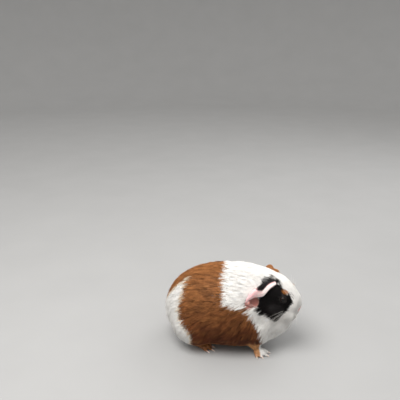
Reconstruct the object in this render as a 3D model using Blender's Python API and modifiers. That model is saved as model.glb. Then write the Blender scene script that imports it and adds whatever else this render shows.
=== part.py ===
"""A life-size guinea pig crouching on its four feet, its head turned a little to its right.

Blender 4.5, metres, +Z up. +X is the way the body faces and +Y its left side. The floor is at
z = 0, and the origin lies on it under the middle of the animal. Every solid reaches out to the
tips of the coat. Run with: blender --background --python part.py
"""

import math

import bmesh
import bpy
import numpy as np
from mathutils import Matrix, Vector

MM = 0.001
GAP = 0.3  # mm, left between neighbouring solids

# Trunk, rump to breast: x, height of the middle, half width, reach up, reach down (mm).
TRUNK = (
    (-97, 50, 0, 0, 0),
    (-91, 51, 29, 25, 25),
    (-71, 53, 47, 43.5, 42),
    (-39, 55, 56, 56, 52.5),
    (-5, 55, 57, 60.5, 53),
    (24, 54, 50, 62, 50),
    (48, 58, 36, 52, 40),
    (64, 66, 24, 34, 30),
    (71, 70, 0, 0, 0),
)
TRUNK_SQUARENESS = 2.15  # exponent of the sections' superellipse

# Head, its own frame: origin between the ears, u forward, v left, w up.
HEAD_ORIGIN = (45, -2, 97.5)
HEAD_YAW, HEAD_PITCH = -14, -20  # degrees: turned right, nose down
HEAD = (
    (-30, -16, 0, 0, 0),
    (-20, -16, 27, 24, 26),
    (-2, -16, 31, 31, 36),
    (15, -14, 28, 30.5, 38),
    (30, -12, 23, 25, 35),
    (42, -11, 17, 18, 28),
    (50, -11, 13, 11.5, 20),
    (54.5, -12, 0, 0, 0),
)
HEAD_SQUARENESS = 2.1

# Soft forms on both sides of the head: u, v, w of the middle and the three radii (mm).
CHEEK = ((15, 16, -26), (23, 17, 23))
BROW = ((27.5, 12, -0.5), (11, 10, 8))
WHISKER_PAD = ((43.5, 8, -22), (12, 10, 13))
# On its middle line.
NOSE_FORM = ((49.8, 0, -8.5), (5.2, 8, 6.5))
CHIN = ((41.5, 0, -37), (12, 12, 11))
THROAT = ((27, 0, -46.5), (26, 26, 18))

# Neck ruff, breast and the limbs' muscle masses: x, y, z of the middle and the three radii.
RUFF = ((33, -1, 66), (28, 39, 49))
BREAST = ((48, -5, 37), (22, 26, 23))
HAUNCH = ((-47, 31, 38), (36, 27, 31))
SHOULDER = ((35, 24, 42), (24, 21, 28))

BODY_VOXEL = 2.0  # mm
BODY_SMOOTHING = 12
BODY_FACES = 1950

EYE_PLACE, EYE_RADIUS = (29.8, 17.6, -0.6), 5.2  # mm, in the head's frame
NOSE_PAD = ((52, 0, -10.5), (5, 6.4, 5))
NOSTRIL = ((54.2, 4.0, -10.8), (2.6, 1.2, 1.7))

# Where the body is parted: a point of each plane, and the direction it faces.
HEAD_CUT = ((29, 0, 112), (0.93, 0, 0.36))
NECK_CUT = ((9, 0, 112), (0.93, 0, 0.36))
MOUTH_CUT = ((50, 0, -25), (0.33, 0, -0.94))  # in the head's frame
THIGH_PART = ((-42, 42, 33), (36, 24, 35))
FORELEG_PART = ((38, 33, 24), (17, 20, 36))

# One ear in the head's frame, as its root, its back and its rim from the top round the tip
# to the cheek: u, distance out from the middle line, w (mm).
EAR_ROOT = (
    (6, 12, 9),
    (-1, 20, 6),
    (-6, 25, -1),
    (-8, 27, -9),
    (-5, 28, -18),
    (4, 29, -26),
)
EAR_BACK = (
    (6, 13.5, 15),
    (-1, 25, 13.5),
    (-7, 38, 8),
    (-14, 46, -5),
    (-8, 43, -20),
    (4, 32, -28),
)
EAR_RIM = (
    (7, 14, 13),
    (6.5, 27, 9.5),
    (4.5, 36, 0),
    (-4, 43.5, -7),
    (-10, 47, -15.5),
    (-4, 43, -19),
    (2, 38, -22),
    (7, 32, -28),
)
EAR_THICKNESS = 1.7
EAR_VOXEL, EAR_SMOOTHING, EAR_FACES = 0.7, 2, 360
LEFT_EAR_BACK = 3.5  # mm, the left ear is folded further back

# Feet, right side: the ankle or wrist, the foot's heading in degrees from straight ahead, and
# its toes as heading, knuckle and tip distances from the wrist.
FOREPAW = {
    "wrist": (33.5, 27, 14),
    "heading": 18,
    "pad": ((7, -0.5, 4.4), (8.5, 7.2, 5.4)),
    "toes": (
        # heading, start, knuckle, tip (distances), sideways start
        (54, 3.0, 6.0, 10.0, 3.2),
        (22, 4.5, 9.0, 13.5, 2.0),
        (-2, 5.5, 12.0, 17.5, -0.6),
        (-20, 6.0, 12.0, 17.0, -4.0),
    ),
    "radii": (3.3, 3.0, 2.4),
    "claw": 3.6,
}
HIND_FOOT = {
    "wrist": (-64, 19, 10),
    "heading": 22,
    "pad": ((17, 0, 4.2), (19, 5.8, 5.2)),
    "toes": (
        (9, 24.0, 32.5, 38.5, 4.2),
        (0, 25.0, 35.5, 42.0, 0.0),
        (-10, 24.0, 32.0, 38.0, -4.0),
    ),
    "radii": (3.2, 3.0, 2.3),
    "claw": 6.0,
}
FOREARM_RISE, FOREARM_RADII = Vector((-3, 0, 21)), (11, 8.5)  # from the wrist up, mm
SOLE_FLAT = 0.9  # mm that a toe's tip would reach below the floor before it is cut flat
CLAW_SINK = 1.4  # mm of a claw inside its toe
CLAW_CLEARANCE = 0.15  # mm that it stays above the floor
CLAW_SIDES = 6
FOOT_VOXEL = 0.8
FOOT_SMOOTHING = 4
FOOT_FACES = 200

# Finishes: base colour, roughness.
FINISHES = {
    "white_coat": ((0.86, 0.84, 0.8), 0.9),
    "brown_coat": ((0.36, 0.15, 0.055), 0.85),
    "ear_skin": ((0.8, 0.5, 0.47), 0.55),
    "nose_skin": ((0.8, 0.55, 0.45), 0.5),
    "paw_skin": ((0.82, 0.68, 0.6), 0.7),
    "claw_horn": ((0.72, 0.62, 0.52), 0.35),
    "eye_dark": ((0.01, 0.008, 0.008), 0.08),
}
FINISH_OF = {  # by the end of a node's name; what isn't named here has a white coat
    "ear": "ear_skin",
    "eye": "eye_dark",
    "nose": "nose_skin",
    "trunk": "brown_coat",
    "thigh": "brown_coat",
    "foreleg": "brown_coat",
    "forepaw": "paw_skin",
    "hind_foot": "paw_skin",
}


def make_finishes():
    """One Principled material for each finish."""
    made = {}
    for name, (colour, roughness) in FINISHES.items():
        material = bpy.data.materials.new(name)
        material.use_nodes = True
        shader = material.node_tree.nodes["Principled BSDF"]
        shader.inputs["Base Color"].default_value = (*colour, 1)
        shader.inputs["Roughness"].default_value = roughness
        shader.inputs["Metallic"].default_value = 0
        made[name] = material
    return made


def finish_name(node):
    """The finish of a node, from its name."""
    if "_claw_" in node:
        return "claw_horn"
    for end, finish in FINISH_OF.items():
        if node.endswith(end):
            return finish
    return "white_coat"


def clear_scene():
    """Leaves the scene empty, with one collection for the animal and one for its cutters."""
    for obj in list(bpy.data.objects):
        bpy.data.objects.remove(obj)
    made = []
    for name in ("guinea_pig", "cutters"):
        collection = bpy.data.collections.new(name)
        bpy.context.scene.collection.children.link(collection)
        made.append(collection)
    return made


ANIMAL, CUTTERS = clear_scene()
IDENTITY = Matrix.Identity(4)
TO_METRES = Matrix.Scale(MM, 4)
TO_MM = Matrix.Scale(1 / MM, 4)
HEAD_FRAME = (
    Matrix.Translation(Vector(HEAD_ORIGIN))
    @ Matrix.Rotation(math.radians(HEAD_YAW), 4, "Z")
    @ Matrix.Rotation(math.radians(-HEAD_PITCH), 4, "Y")
)


def add_object(name, bm, frame=IDENTITY):
    """A helper object that doesn't render, from a bmesh in mm of its frame."""
    bmesh.ops.transform(bm, matrix=TO_METRES @ frame, verts=bm.verts)
    if frame.determinant() < 0:
        bmesh.ops.reverse_faces(bm, faces=bm.faces)
    mesh = bpy.data.meshes.new(name)
    bm.to_mesh(mesh)
    bm.free()
    obj = bpy.data.objects.new(name, mesh)
    CUTTERS.objects.link(obj)
    obj.hide_render = True
    obj.display_type = "WIRE"
    return obj


def catmull_rom(rows, steps, ends=None):
    """Points of a Catmull-Rom curve through rows; ends gives the rows past the first and last."""
    rows = [np.array(row, float) for row in rows]
    first, last = ends if ends else (2 * rows[0] - rows[1], 2 * rows[-1] - rows[-2])
    rows = [first] + rows + [last]
    made = []
    for i in range(1, len(rows) - 2):
        p0, p1, p2, p3 = rows[i - 1 : i + 3]
        for k in range(steps):
            t = k / steps
            linear = 2 * p1 + (p2 - p0) * t
            square = (2 * p0 - 5 * p1 + 4 * p2 - p3) * t**2
            cube = (3 * p1 - p0 - 3 * p2 + p3) * t**3
            made.append(0.5 * (linear + square + cube))
    made.append(rows[-2])
    return made


def skin_rings(bm, rings):
    """Joins rings of vertices; a ring of one vertex closes the form to a point."""
    for a, b in zip(rings, rings[1:]):
        count = max(len(a), len(b))
        for k in range(count):
            n = (k + 1) % count
            corners = [a[k % len(a)], a[n % len(a)], b[n % len(b)], b[k % len(b)]]
            bm.faces.new(list(dict.fromkeys(corners)))
    bmesh.ops.recalc_face_normals(bm, faces=bm.faces)


def loft(name, stations, squareness, frame=IDENTITY, sides=40, steps=5):
    """A closed form through elliptical stations (along, middle, half width, up, down).

    Past each end the profile is mirrored, so that it leaves the axis at a right angle.
    """
    mirror = np.array([1, 1, -1, -1, -1])
    ends = (np.array(stations[1]) * mirror, np.array(stations[-2]) * mirror)
    bm = bmesh.new()
    rings = []
    for along, middle, half_width, up, down in catmull_rom(stations, steps, ends):
        if half_width < 1e-3:
            rings.append([bm.verts.new((along, 0, middle))])
            continue
        ring = []
        for k in range(sides):
            angle = 2 * math.pi * k / sides
            c, s = math.cos(angle), math.sin(angle)
            c = math.copysign(abs(c) ** (2 / squareness), c)
            s = math.copysign(abs(s) ** (2 / squareness), s)
            reach = up if s > 0 else down
            ring.append(bm.verts.new((along, half_width * c, middle + reach * s)))
        rings.append(ring)
    skin_rings(bm, rings)
    return add_object(name, bm, frame)


def ellipsoid(name, middle, radii, frame=IDENTITY, side=1, segments=24):
    """An ellipsoid at middle, on the left for side 1 and mirrored for side -1."""
    x, y, z = middle
    bm = bmesh.new()
    place = Matrix.Translation((x, y * side, z)) @ Matrix.Diagonal((*radii, 1))
    bmesh.ops.create_uvsphere(
        bm, u_segments=segments, v_segments=segments // 2, radius=1, matrix=place
    )
    return add_object(name, bm, frame)


def limb(name, points, radii, frame=IDENTITY, segments=16):
    """Overlapping balls and cones along a chain of points, to be melted into one form."""
    bm = bmesh.new()
    points = [Vector(p) for p in points]
    for point, radius in zip(points, radii):
        bmesh.ops.create_uvsphere(
            bm,
            u_segments=segments,
            v_segments=segments // 2,
            radius=radius,
            matrix=Matrix.Translation(point),
        )
    for a, b, ra, rb in zip(points, points[1:], radii, radii[1:]):
        turn = (b - a).to_track_quat("Z", "Y").to_matrix().to_4x4()
        bmesh.ops.create_cone(
            bm,
            cap_ends=True,
            segments=segments,
            radius1=ra,
            radius2=rb,
            depth=(b - a).length,
            matrix=Matrix.Translation((a + b) / 2) @ turn,
        )
    return add_object(name, bm, frame)


def evaluated_mesh(obj):
    """The object's mesh with its modifiers applied."""
    bpy.context.view_layer.update()
    graph = bpy.context.evaluated_depsgraph_get()
    return bpy.data.meshes.new_from_object(obj.evaluated_get(graph))


def apply(obj):
    """Applies the object's modifiers."""
    obj.data = evaluated_mesh(obj)
    obj.modifiers.clear()
    return obj


def joined(name, pieces):
    """One object of all these pieces, which may overlap."""
    bm = bmesh.new()
    for piece in pieces:
        bm.from_mesh(piece.data)
        bpy.data.objects.remove(piece)
    return add_object(name, bm, TO_MM)


def melt(name, pieces, voxel, smoothing, faces):
    """One smooth skin round overlapping pieces, thinned out to about this many faces."""
    obj = joined(name, pieces)
    remesh = obj.modifiers.new("skin", "REMESH")
    remesh.mode = "VOXEL"
    remesh.voxel_size = voxel * MM
    smooth = obj.modifiers.new("soften", "SMOOTH")
    smooth.iterations = smoothing
    smooth.factor = 0.5
    apply(obj)
    thin = obj.modifiers.new("thin", "DECIMATE")
    thin.ratio = min(1, faces / (2 * len(obj.data.polygons)))
    return apply(obj)


def outward(obj):
    """Turns the faces of a closed mesh outwards."""
    bm = bmesh.new()
    bm.from_mesh(obj.data)
    bmesh.ops.recalc_face_normals(bm, faces=bm.faces)
    bm.to_mesh(obj.data)
    bm.free()
    return obj


def copy_of(obj, name, grow=0.0):
    """A helper copy, its surface moved out by grow (mm)."""
    copy = bpy.data.objects.new(name, obj.data.copy())
    CUTTERS.objects.link(copy)
    copy.hide_render = True
    copy.display_type = "WIRE"
    if grow:
        push = copy.modifiers.new("grow", "DISPLACE")
        push.strength = grow * MM
        push.mid_level = 0
        apply(copy)
    return copy


def cut(obj, cutter, operation="DIFFERENCE"):
    """Takes the cutter from the object, or keeps only what they share."""
    step = obj.modifiers.new("cut", "BOOLEAN")
    step.operation = operation
    step.solver = "EXACT"
    step.object = cutter
    return apply(obj)


def part_off(obj, name, inner, outer):
    """The piece of obj inside inner, as a new object; obj keeps what is outside outer."""
    piece = copy_of(obj, name)
    cut(piece, inner, "INTERSECT")
    cut(obj, outer)
    return piece


def half_space(name, point, normal, frame=IDENTITY, back=0.0):
    """A big box on the side of the plane that the normal faces, moved back by so much."""
    turn = Vector(normal).to_track_quat("Z", "Y").to_matrix().to_4x4()
    bm = bmesh.new()
    bmesh.ops.create_cube(bm, size=300, matrix=Matrix.Translation((0, 0, 150 - back)))
    place = Matrix.Translation(Vector(point)) @ turn
    return add_object(name, bm, frame @ place)


def part_at_plane(obj, name, point, normal, frame=IDENTITY):
    """Parts obj at a plane and returns what lies on the side that the normal faces."""
    inner = half_space(name + "_side", point, normal, frame)
    outer = half_space(name + "_rest", point, normal, frame, GAP)
    return part_off(obj, name, inner, outer)


def part_at_ellipsoid(obj, name, middle, radii, frame=IDENTITY, side=1):
    """Parts obj at an ellipsoid and returns what lies in it."""
    segments = 16 if max(radii) > 10 else 12
    inner = ellipsoid(name + "_in", middle, radii, frame, side, segments)
    grown = [radius + GAP for radius in radii]
    outer = ellipsoid(name + "_out", middle, grown, frame, side, segments)
    return part_off(obj, name, inner, outer)


def make_node(obj, name, material):
    """Keeps the largest closed piece, in triangles, as the node of this name."""
    bm = bmesh.new()
    bm.from_mesh(obj.data)
    bmesh.ops.remove_doubles(bm, verts=bm.verts, dist=1e-7)
    bmesh.ops.triangulate(bm, faces=bm.faces)
    bm.verts.ensure_lookup_table()
    seen, shells = set(), []
    for start in bm.verts:
        if start in seen:
            continue
        shell, queue = [], [start]
        seen.add(start)
        while queue:
            vert = queue.pop()
            shell.append(vert)
            for edge in vert.link_edges:
                other = edge.other_vert(vert)
                if other not in seen:
                    seen.add(other)
                    queue.append(other)
        shells.append(shell)
    shells.sort(key=len)
    for shell in shells[:-1]:
        bmesh.ops.delete(bm, geom=shell, context="VERTS")
    bm.to_mesh(obj.data)
    bm.free()
    obj.name = name
    obj.data.name = name
    obj.data.materials.clear()
    obj.data.materials.append(material)
    obj.data.shade_smooth()
    obj.data.set_sharp_from_angle(angle=math.radians(40))
    CUTTERS.objects.unlink(obj)
    ANIMAL.objects.link(obj)
    obj.hide_render = False
    obj.display_type = "TEXTURED"
    return obj


def make_body():
    """Trunk, neck and head as one form, with the forearms' stumps."""
    pieces = [
        loft("trunk_form", TRUNK, TRUNK_SQUARENESS),
        loft("head_form", HEAD, HEAD_SQUARENESS, HEAD_FRAME),
        ellipsoid("ruff_form", *RUFF),
        ellipsoid("breast_form", *BREAST),
        ellipsoid("nose_form", *NOSE_FORM, HEAD_FRAME),
        ellipsoid("chin_form", *CHIN, HEAD_FRAME),
        ellipsoid("throat_form", *THROAT, HEAD_FRAME),
    ]
    for side in (-1, 1):
        wrist = Vector(FOREPAW["wrist"])
        wrist.y *= side
        pieces += [
            ellipsoid("cheek_form", *CHEEK, HEAD_FRAME, side),
            ellipsoid("brow_form", *BROW, HEAD_FRAME, side),
            ellipsoid("pad_form", *WHISKER_PAD, HEAD_FRAME, side),
            ellipsoid("haunch_form", *HAUNCH, side=side),
            ellipsoid("shoulder_form", *SHOULDER, side=side),
            limb("forearm_form", (wrist + FOREARM_RISE, wrist), FOREARM_RADII),
        ]
    return melt("body_form", pieces, BODY_VOXEL, BODY_SMOOTHING, BODY_FACES)


def foot_frame(foot, side):
    """Matrix from the foot's own axes, under its wrist on the floor, to the animal's."""
    x, y, _ = foot["wrist"]
    turn = Matrix.Rotation(math.radians(foot["heading"] * side), 4, "Z")
    return Matrix.Translation((x, y * side, 0)) @ turn @ Matrix.Diagonal((1, side, 1, 1))


def toe_line(toe):
    """Start, knuckle and tip of a toe on the floor plane, and its direction."""
    heading, start, knuckle, tip, aside = toe
    angle = math.radians(heading)
    along = Vector((math.cos(angle), math.sin(angle), 0))
    base = Vector((start, aside, 0))
    return base, base + along * (knuckle - start), base + along * (tip - start), along


def make_foot(name, foot, side):
    """A foot with its toes, flat on the floor, and its claws' places."""
    frame = foot_frame(foot, side)
    height = foot["wrist"][2]
    middle, radii = foot["pad"]
    pieces = [
        ellipsoid("pad_form", middle, radii, frame),
        limb("ankle_form", ((0, 0, height), (4, 0, 6)), (6.0, 5.0), frame),
    ]
    thick, waist, thin = foot["radii"]
    claws = []
    for toe in foot["toes"]:
        base, knuckle, tip, along = toe_line(toe)
        base.z, knuckle.z, tip.z = thick + 1.0, waist + 1.4, thin - SOLE_FLAT
        pieces.append(limb("toe_form", (base, knuckle, tip), (thick, waist, thin), frame))
        claws.append((tip + along * 0.6 + Vector((0, 0, 0.5)), along))
    obj = melt(name, pieces, FOOT_VOXEL, FOOT_SMOOTHING, FOOT_FACES)
    cut(obj, half_space("floor_side", (0, 0, 0), (0, 0, -1)))
    return obj, claws, frame


def make_claw(name, place, along, length, frame, grow=0.0):
    """A claw curving forward and down from its toe; grow makes the socket it sits in."""
    side = Vector((-along.y, along.x, 0))
    # Distance along the claw, drop and radius of its sections, in parts of its length and in mm.
    sections = ((-CLAW_SINK, 0, 0.75), (0, 0, 1), (0.35 * length, 0.3, 0.85), (0.7 * length, 0.9, 0.55))
    bm = bmesh.new()
    rings = []
    for out, drop, radius in sections:
        width = radius + grow
        centre = place + along * out
        centre.z = max(place.z - drop, width + CLAW_CLEARANCE)
        ring = []
        for k in range(CLAW_SIDES):
            angle = 2 * math.pi * k / CLAW_SIDES
            offset = side * math.cos(angle) * 0.85 + Vector((0, 0, math.sin(angle)))
            ring.append(bm.verts.new(centre + offset * width))
        rings.append(ring)
    root = place - along * (CLAW_SINK + grow + 0.2)
    root.z = place.z
    tip = place + along * (length + grow)
    tip.z = 3 * CLAW_CLEARANCE
    rings = [[bm.verts.new(root)]] + rings + [[bm.verts.new(tip)]]
    skin_rings(bm, rings)
    return add_object(name, bm, frame)


def make_ear(name, side):
    """One ear, a thin hood from its root over its back to its rim."""
    shift = -LEFT_EAR_BACK if side > 0 else 0
    steps = 4
    root = catmull_rom(EAR_ROOT, steps)
    back = catmull_rom(EAR_BACK, steps)
    rim = catmull_rom(EAR_RIM, steps)
    count, across = 18, 6
    bm = bmesh.new()
    rows = []
    for i in range(count):
        s = i / (count - 1)
        ends = []
        for curve in (root, back, rim):
            at = s * (len(curve) - 1)
            k = min(int(at), len(curve) - 2)
            ends.append(curve[k] + (curve[k + 1] - curve[k]) * (at - k))
        r, b, e = ends
        handle = 2 * b - (r + e) / 2
        row = []
        for j in range(across):
            t = j / (across - 1)
            u, out, w = (1 - t) ** 2 * r + 2 * t * (1 - t) * handle + t**2 * e
            row.append(bm.verts.new((u + shift, out * side, w)))
        rows.append(row)
    for a, b in zip(rows, rows[1:]):
        for j in range(across - 1):
            bm.faces.new((a[j], a[j + 1], b[j + 1], b[j]))
    bmesh.ops.recalc_face_normals(bm, faces=bm.faces)
    obj = add_object(name, bm, HEAD_FRAME)
    thicken = obj.modifiers.new("thickness", "SOLIDIFY")
    thicken.thickness = EAR_THICKNESS * MM
    thicken.offset = 0
    outward(apply(obj))
    return melt(name, [obj], EAR_VOXEL, EAR_SMOOTHING, EAR_FACES)


def make_animal():
    """All nodes of the animal."""
    body = make_body()
    ear_bed = copy_of(body, "ear_bed", GAP)
    nodes = {}
    for side, word in ((-1, "right"), (1, "left")):
        for part, foot in (("forepaw", FOREPAW), ("hind_foot", HIND_FOOT)):
            name = f"{word}_{part}"
            obj, claws, frame = make_foot(name, foot, side)
            cut(body, copy_of(obj, name + "_room", GAP + 0.05))
            for k, (place, along) in enumerate(claws):
                claw = make_claw(f"{name}_claw_{k + 1}", place, along, foot["claw"], frame)
                room = make_claw("claw_room", place, along, foot["claw"], frame, GAP)
                cut(obj, room)
                cut(body, room)
                nodes[f"{name}_claw_{k + 1}"] = claw
            nodes[name] = obj
    for side, word in ((-1, "right"), (1, "left")):
        place, radius = EYE_PLACE, EYE_RADIUS
        nodes[f"{word}_eye"] = ellipsoid(f"{word}_eye", place, (radius,) * 3, HEAD_FRAME, side, 14)
        cut(body, ellipsoid("socket", place, (radius + GAP,) * 3, HEAD_FRAME, side, 14))
        nodes[f"{word}_thigh"] = part_at_ellipsoid(body, f"{word}_thigh", *THIGH_PART, side=side)
        nodes[f"{word}_foreleg"] = part_at_ellipsoid(
            body, f"{word}_foreleg", *FORELEG_PART, side=side
        )
    head = part_at_plane(body, "head", *HEAD_CUT)
    nodes["neck"] = part_at_plane(body, "neck", *NECK_CUT)
    nodes["trunk"] = body
    nodes["lower_jaw"] = part_at_plane(head, "lower_jaw", *MOUTH_CUT, HEAD_FRAME)
    nose = part_at_ellipsoid(head, "nose", *NOSE_PAD, HEAD_FRAME)
    for side, word in ((-1, "right"), (1, "left")):
        nodes[f"{word}_ear"] = cut(make_ear(f"{word}_ear", side), ear_bed)
        cut(nose, ellipsoid("nostril_room", *NOSTRIL, HEAD_FRAME, side, 10))
    nodes["nose"] = nose
    nodes["head"] = head
    finishes = make_finishes()
    return [make_node(obj, name, finishes[finish_name(name)]) for name, obj in nodes.items()]


def centre(nodes):
    """Moves the animal so that the origin lies on the floor under the middle of its box."""
    corners = np.array([vert.co[:] for node in nodes for vert in node.data.vertices])
    low, high = corners.min(axis=0), corners.max(axis=0)
    middle = (low + high) / 2
    shift = Matrix.Translation((-middle[0], -middle[1], -low[2]))
    for node in nodes:
        node.data.transform(shift)
    print("moved by", [round(v / MM, 3) for v in shift.translation], "size", (high - low) / MM)


centre(make_animal())
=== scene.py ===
"""The looks of a still, life-size guinea pig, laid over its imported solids.

One skin takes the place of the nodes of flesh and lies inside them by the depth of the coat.
The coat is solid locks of hair, rooted in that skin, which follow its lie and end where the
solids do. Lengths are in millimetres in the frame's own axes (+X ahead, +Y to the animal's
left, +Z up), or in the head's own axes where a name says so, and become metres in the meshes.
"""

import math

import bmesh
import bpy
import numpy as np
from mathutils import Matrix, Vector, bvhtree, kdtree


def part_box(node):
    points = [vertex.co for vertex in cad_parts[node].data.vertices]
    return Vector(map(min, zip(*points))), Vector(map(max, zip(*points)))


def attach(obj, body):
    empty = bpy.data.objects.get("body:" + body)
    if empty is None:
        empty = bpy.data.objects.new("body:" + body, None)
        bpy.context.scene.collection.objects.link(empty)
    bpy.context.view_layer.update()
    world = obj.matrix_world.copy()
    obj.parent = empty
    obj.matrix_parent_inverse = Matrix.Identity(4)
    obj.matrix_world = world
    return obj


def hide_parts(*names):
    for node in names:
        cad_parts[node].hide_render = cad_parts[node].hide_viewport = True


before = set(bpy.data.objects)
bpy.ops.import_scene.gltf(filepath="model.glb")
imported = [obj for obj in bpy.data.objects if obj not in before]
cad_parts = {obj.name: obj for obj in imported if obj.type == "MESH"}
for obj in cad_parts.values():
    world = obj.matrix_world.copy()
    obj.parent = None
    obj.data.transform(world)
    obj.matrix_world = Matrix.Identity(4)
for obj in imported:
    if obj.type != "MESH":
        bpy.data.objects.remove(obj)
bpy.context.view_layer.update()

MM = 0.001
SIDES = {"right": -1, "left": 1}
BODY = "root"
LIMBS = ("thigh", "foreleg", "forepaw", "hind_foot")
FLESH = ["head", "lower_jaw", "nose", "neck", "trunk"] + [f"{s}_{part}" for s in SIDES for part in LIMBS]

# ---- places


def centre_of(node):
    """The middle of a node's box, in mm."""
    low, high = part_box(node)
    return (low + high) / 2 / MM


def radius_of(node):
    """Half of a node's mean width, in mm."""
    low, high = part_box(node)
    return sum(high - low) / 6 / MM


# The middles of the left eye's and the nose's boxes, in the head's own axes.
EYE_IN_HEAD = Vector((29.8, 17.6, -0.6))
NOSE_IN_HEAD = Vector((51.4, 0, -10.7))


def head_axes():
    """The head's own frame: X to the nose, Y to its left, Z to the crown, from the eyes and nose."""
    left, right, nose = (centre_of(n) for n in ("left_eye", "right_eye", "nose"))
    side = (left - right).normalized()
    middle = (left + right) / 2
    to_nose = nose - middle
    to_nose = (to_nose - side * to_nose.dot(side)).normalized()
    drop = math.atan2(EYE_IN_HEAD.z - NOSE_IN_HEAD.z, NOSE_IN_HEAD.x - EYE_IN_HEAD.x)
    ahead = Matrix.Rotation(-drop, 3, side) @ to_nose
    up = ahead.cross(side)
    turn = Matrix((ahead, side, up)).transposed()
    origin = middle - turn @ Vector((EYE_IN_HEAD.x, 0, EYE_IN_HEAD.z))
    return Matrix.Translation(origin) @ turn.to_4x4()


HEAD = head_axes()
HEAD_TURN = np.array(HEAD.to_3x3())
HEAD_ORIGIN = np.array(HEAD.translation)
EYE_LOOK = (0.22, 1.0, 0.12)  # the way the left eye looks, in the head's axes
EYE_SUNK = 0.7  # mm by which the eyes sit deeper than their solids


def eye_look(side):
    return HEAD_TURN @ (np.array((1, SIDES[side], 1)) * EYE_LOOK)


def eye_middle(side):
    look = eye_look(side)
    return np.array(centre_of(f"{side}_eye")) - EYE_SUNK * look / np.linalg.norm(look)


EYES = {side: eye_middle(side) for side in SIDES}
EYE_RADIUS = radius_of("right_eye")
NOSE = np.array(centre_of("nose"))


def to_head(points):
    return (points - HEAD_ORIGIN) @ HEAD_TURN


def from_head(points):
    return np.asarray(points, float) @ HEAD_TURN.T + HEAD_ORIGIN


# ---- small sums


def smoothstep(x, low, high):
    t = np.clip((x - low) / (high - low), 0, 1)
    return t * t * (3 - 2 * t)


def fade(x, low, high):
    """1 up to the low mark, falling to 0 at the high one."""
    return 1 - smoothstep(x, low, high)


def hump(x, middle, width):
    """1 at the middle, falling off smoothly to nearly 0 at two widths from it."""
    return np.exp(-(((x - middle) / width) ** 2))


def unit(vectors):
    return vectors / np.maximum(np.linalg.norm(vectors, axis=-1, keepdims=True), 1e-9)


def lengths_of(vectors):
    return np.linalg.norm(vectors, axis=1)


def flat(values):
    """The values in one row, as a mesh takes them."""
    return values.astype(np.float32).ravel()


def ripples(points, size, seed, waves=7):
    """A smooth, seeded unevenness of about -1 to 1, with humps of about that size in mm."""
    rng = np.random.default_rng(seed)
    ways = unit(rng.normal(size=(waves, 3))) * 2 * math.pi / size
    ways *= rng.uniform(0.6, 1.5, size=(waves, 1))
    starts = rng.uniform(0, 2 * math.pi, waves)
    return np.sin(points @ ways.T + starts).sum(1) / math.sqrt(waves)


def read_off(values, rows):
    """The second number of the rows, read off between them at each value of the first."""
    first, second = zip(*rows)
    return np.interp(values, first, second)


def curve_at(rows, shares):
    """Points of a smooth curve through the rows, at those shares of its way."""
    rows = np.array(rows, float)
    rows = np.vstack([2 * rows[0] - rows[1], rows, 2 * rows[-1] - rows[-2]])
    at = np.clip(shares, 0, 1) * (len(rows) - 3)
    step = np.minimum(at.astype(int), len(rows) - 4)
    t = (at - step)[:, None]
    a, b, c, d = (rows[step + k] for k in range(4))
    square = (2 * a - 5 * b + 4 * c - d) * t**2
    cube = (3 * b - a - 3 * c + d) * t**3
    return 0.5 * (2 * b + (c - a) * t + square + cube)


def off_stretch(spots, a, b):
    """How far each spot is from the straight stretch between a and b."""
    run = b - a
    t = np.clip(((spots - a) @ run) / (run @ run), 0, 1)
    return lengths_of(spots - a - t[:, None] * run)


def depth_inside(spots, outline):
    """How deep, in mm, each spot lies inside the closed outline; negative outside."""
    corners = np.array(outline, float)
    inside = np.zeros(len(spots), bool)
    nearest = np.full(len(spots), 1e9)
    for a, b in zip(corners, np.roll(corners, -1, 0)):
        nearest = np.minimum(nearest, off_stretch(spots, a, b))
        rise = b[1] - a[1]
        at = a[0] + (spots[:, 1] - a[1]) / (rise or 1e-9) * (b[0] - a[0])
        inside ^= ((a[1] > spots[:, 1]) != (b[1] > spots[:, 1])) & (spots[:, 0] < at)
    return np.where(inside, nearest, -nearest)


def near(points, centre, radii):
    """1 at the centre of an ellipsoid, 0.5 at its surface, falling to 0 beyond it."""
    apart = lengths_of((points - np.array(centre)) / np.array(radii))
    return fade(apart, 0.75, 1.25)


def painted(colours, *layers):
    """A colour, or one for each point, with paints laid over it in turn, each by its share."""
    for paint, share in layers:
        share = np.clip(share, 0, 1)[..., None]
        colours = np.array(colours) * (1 - share) + np.array(paint) * share
    return colours


# ---- meshes


def link(obj):
    bpy.context.scene.collection.objects.link(obj)
    return obj


def with_modifier(obj, kind, **values):
    """The object with such a modifier applied to its mesh, which is then shaded smooth."""
    modifier = obj.modifiers.new(kind, kind)
    for name, value in values.items():
        setattr(modifier, name, value)
    graph = bpy.context.evaluated_depsgraph_get()
    mesh = bpy.data.meshes.new_from_object(obj.evaluated_get(graph))
    obj.modifiers.clear()
    obj.data = mesh
    mesh.shade_smooth()
    return obj


def as_object(shape, name):
    """A bmesh, which is freed, as a new object that is shaded smooth."""
    mesh = bpy.data.meshes.new(name)
    shape.to_mesh(mesh)
    shape.free()
    mesh.shade_smooth()
    return link(bpy.data.objects.new(name, mesh))


def solid_of(node):
    """A CAD node as a bmesh whose faces share their corners."""
    shape = bmesh.new()
    shape.from_mesh(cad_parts[node].data)
    bmesh.ops.remove_doubles(shape, verts=shape.verts, dist=0.001 * MM)
    return shape


def read_table(items, name, size, kind):
    """The rows of numbers that the items hold under that name."""
    row = np.empty(len(items) * size, kind)
    items.foreach_get(name, row)
    return row.reshape(-1, size)


def read_vectors(items, name, size=3):
    return read_table(items, name, size, np.float32).astype(float)


def points_of(mesh):
    """The mesh's points in mm."""
    return read_vectors(mesh.vertices, "co") / MM


def normals_of(mesh):
    return read_vectors(mesh.vertex_normals, "vector")


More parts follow.
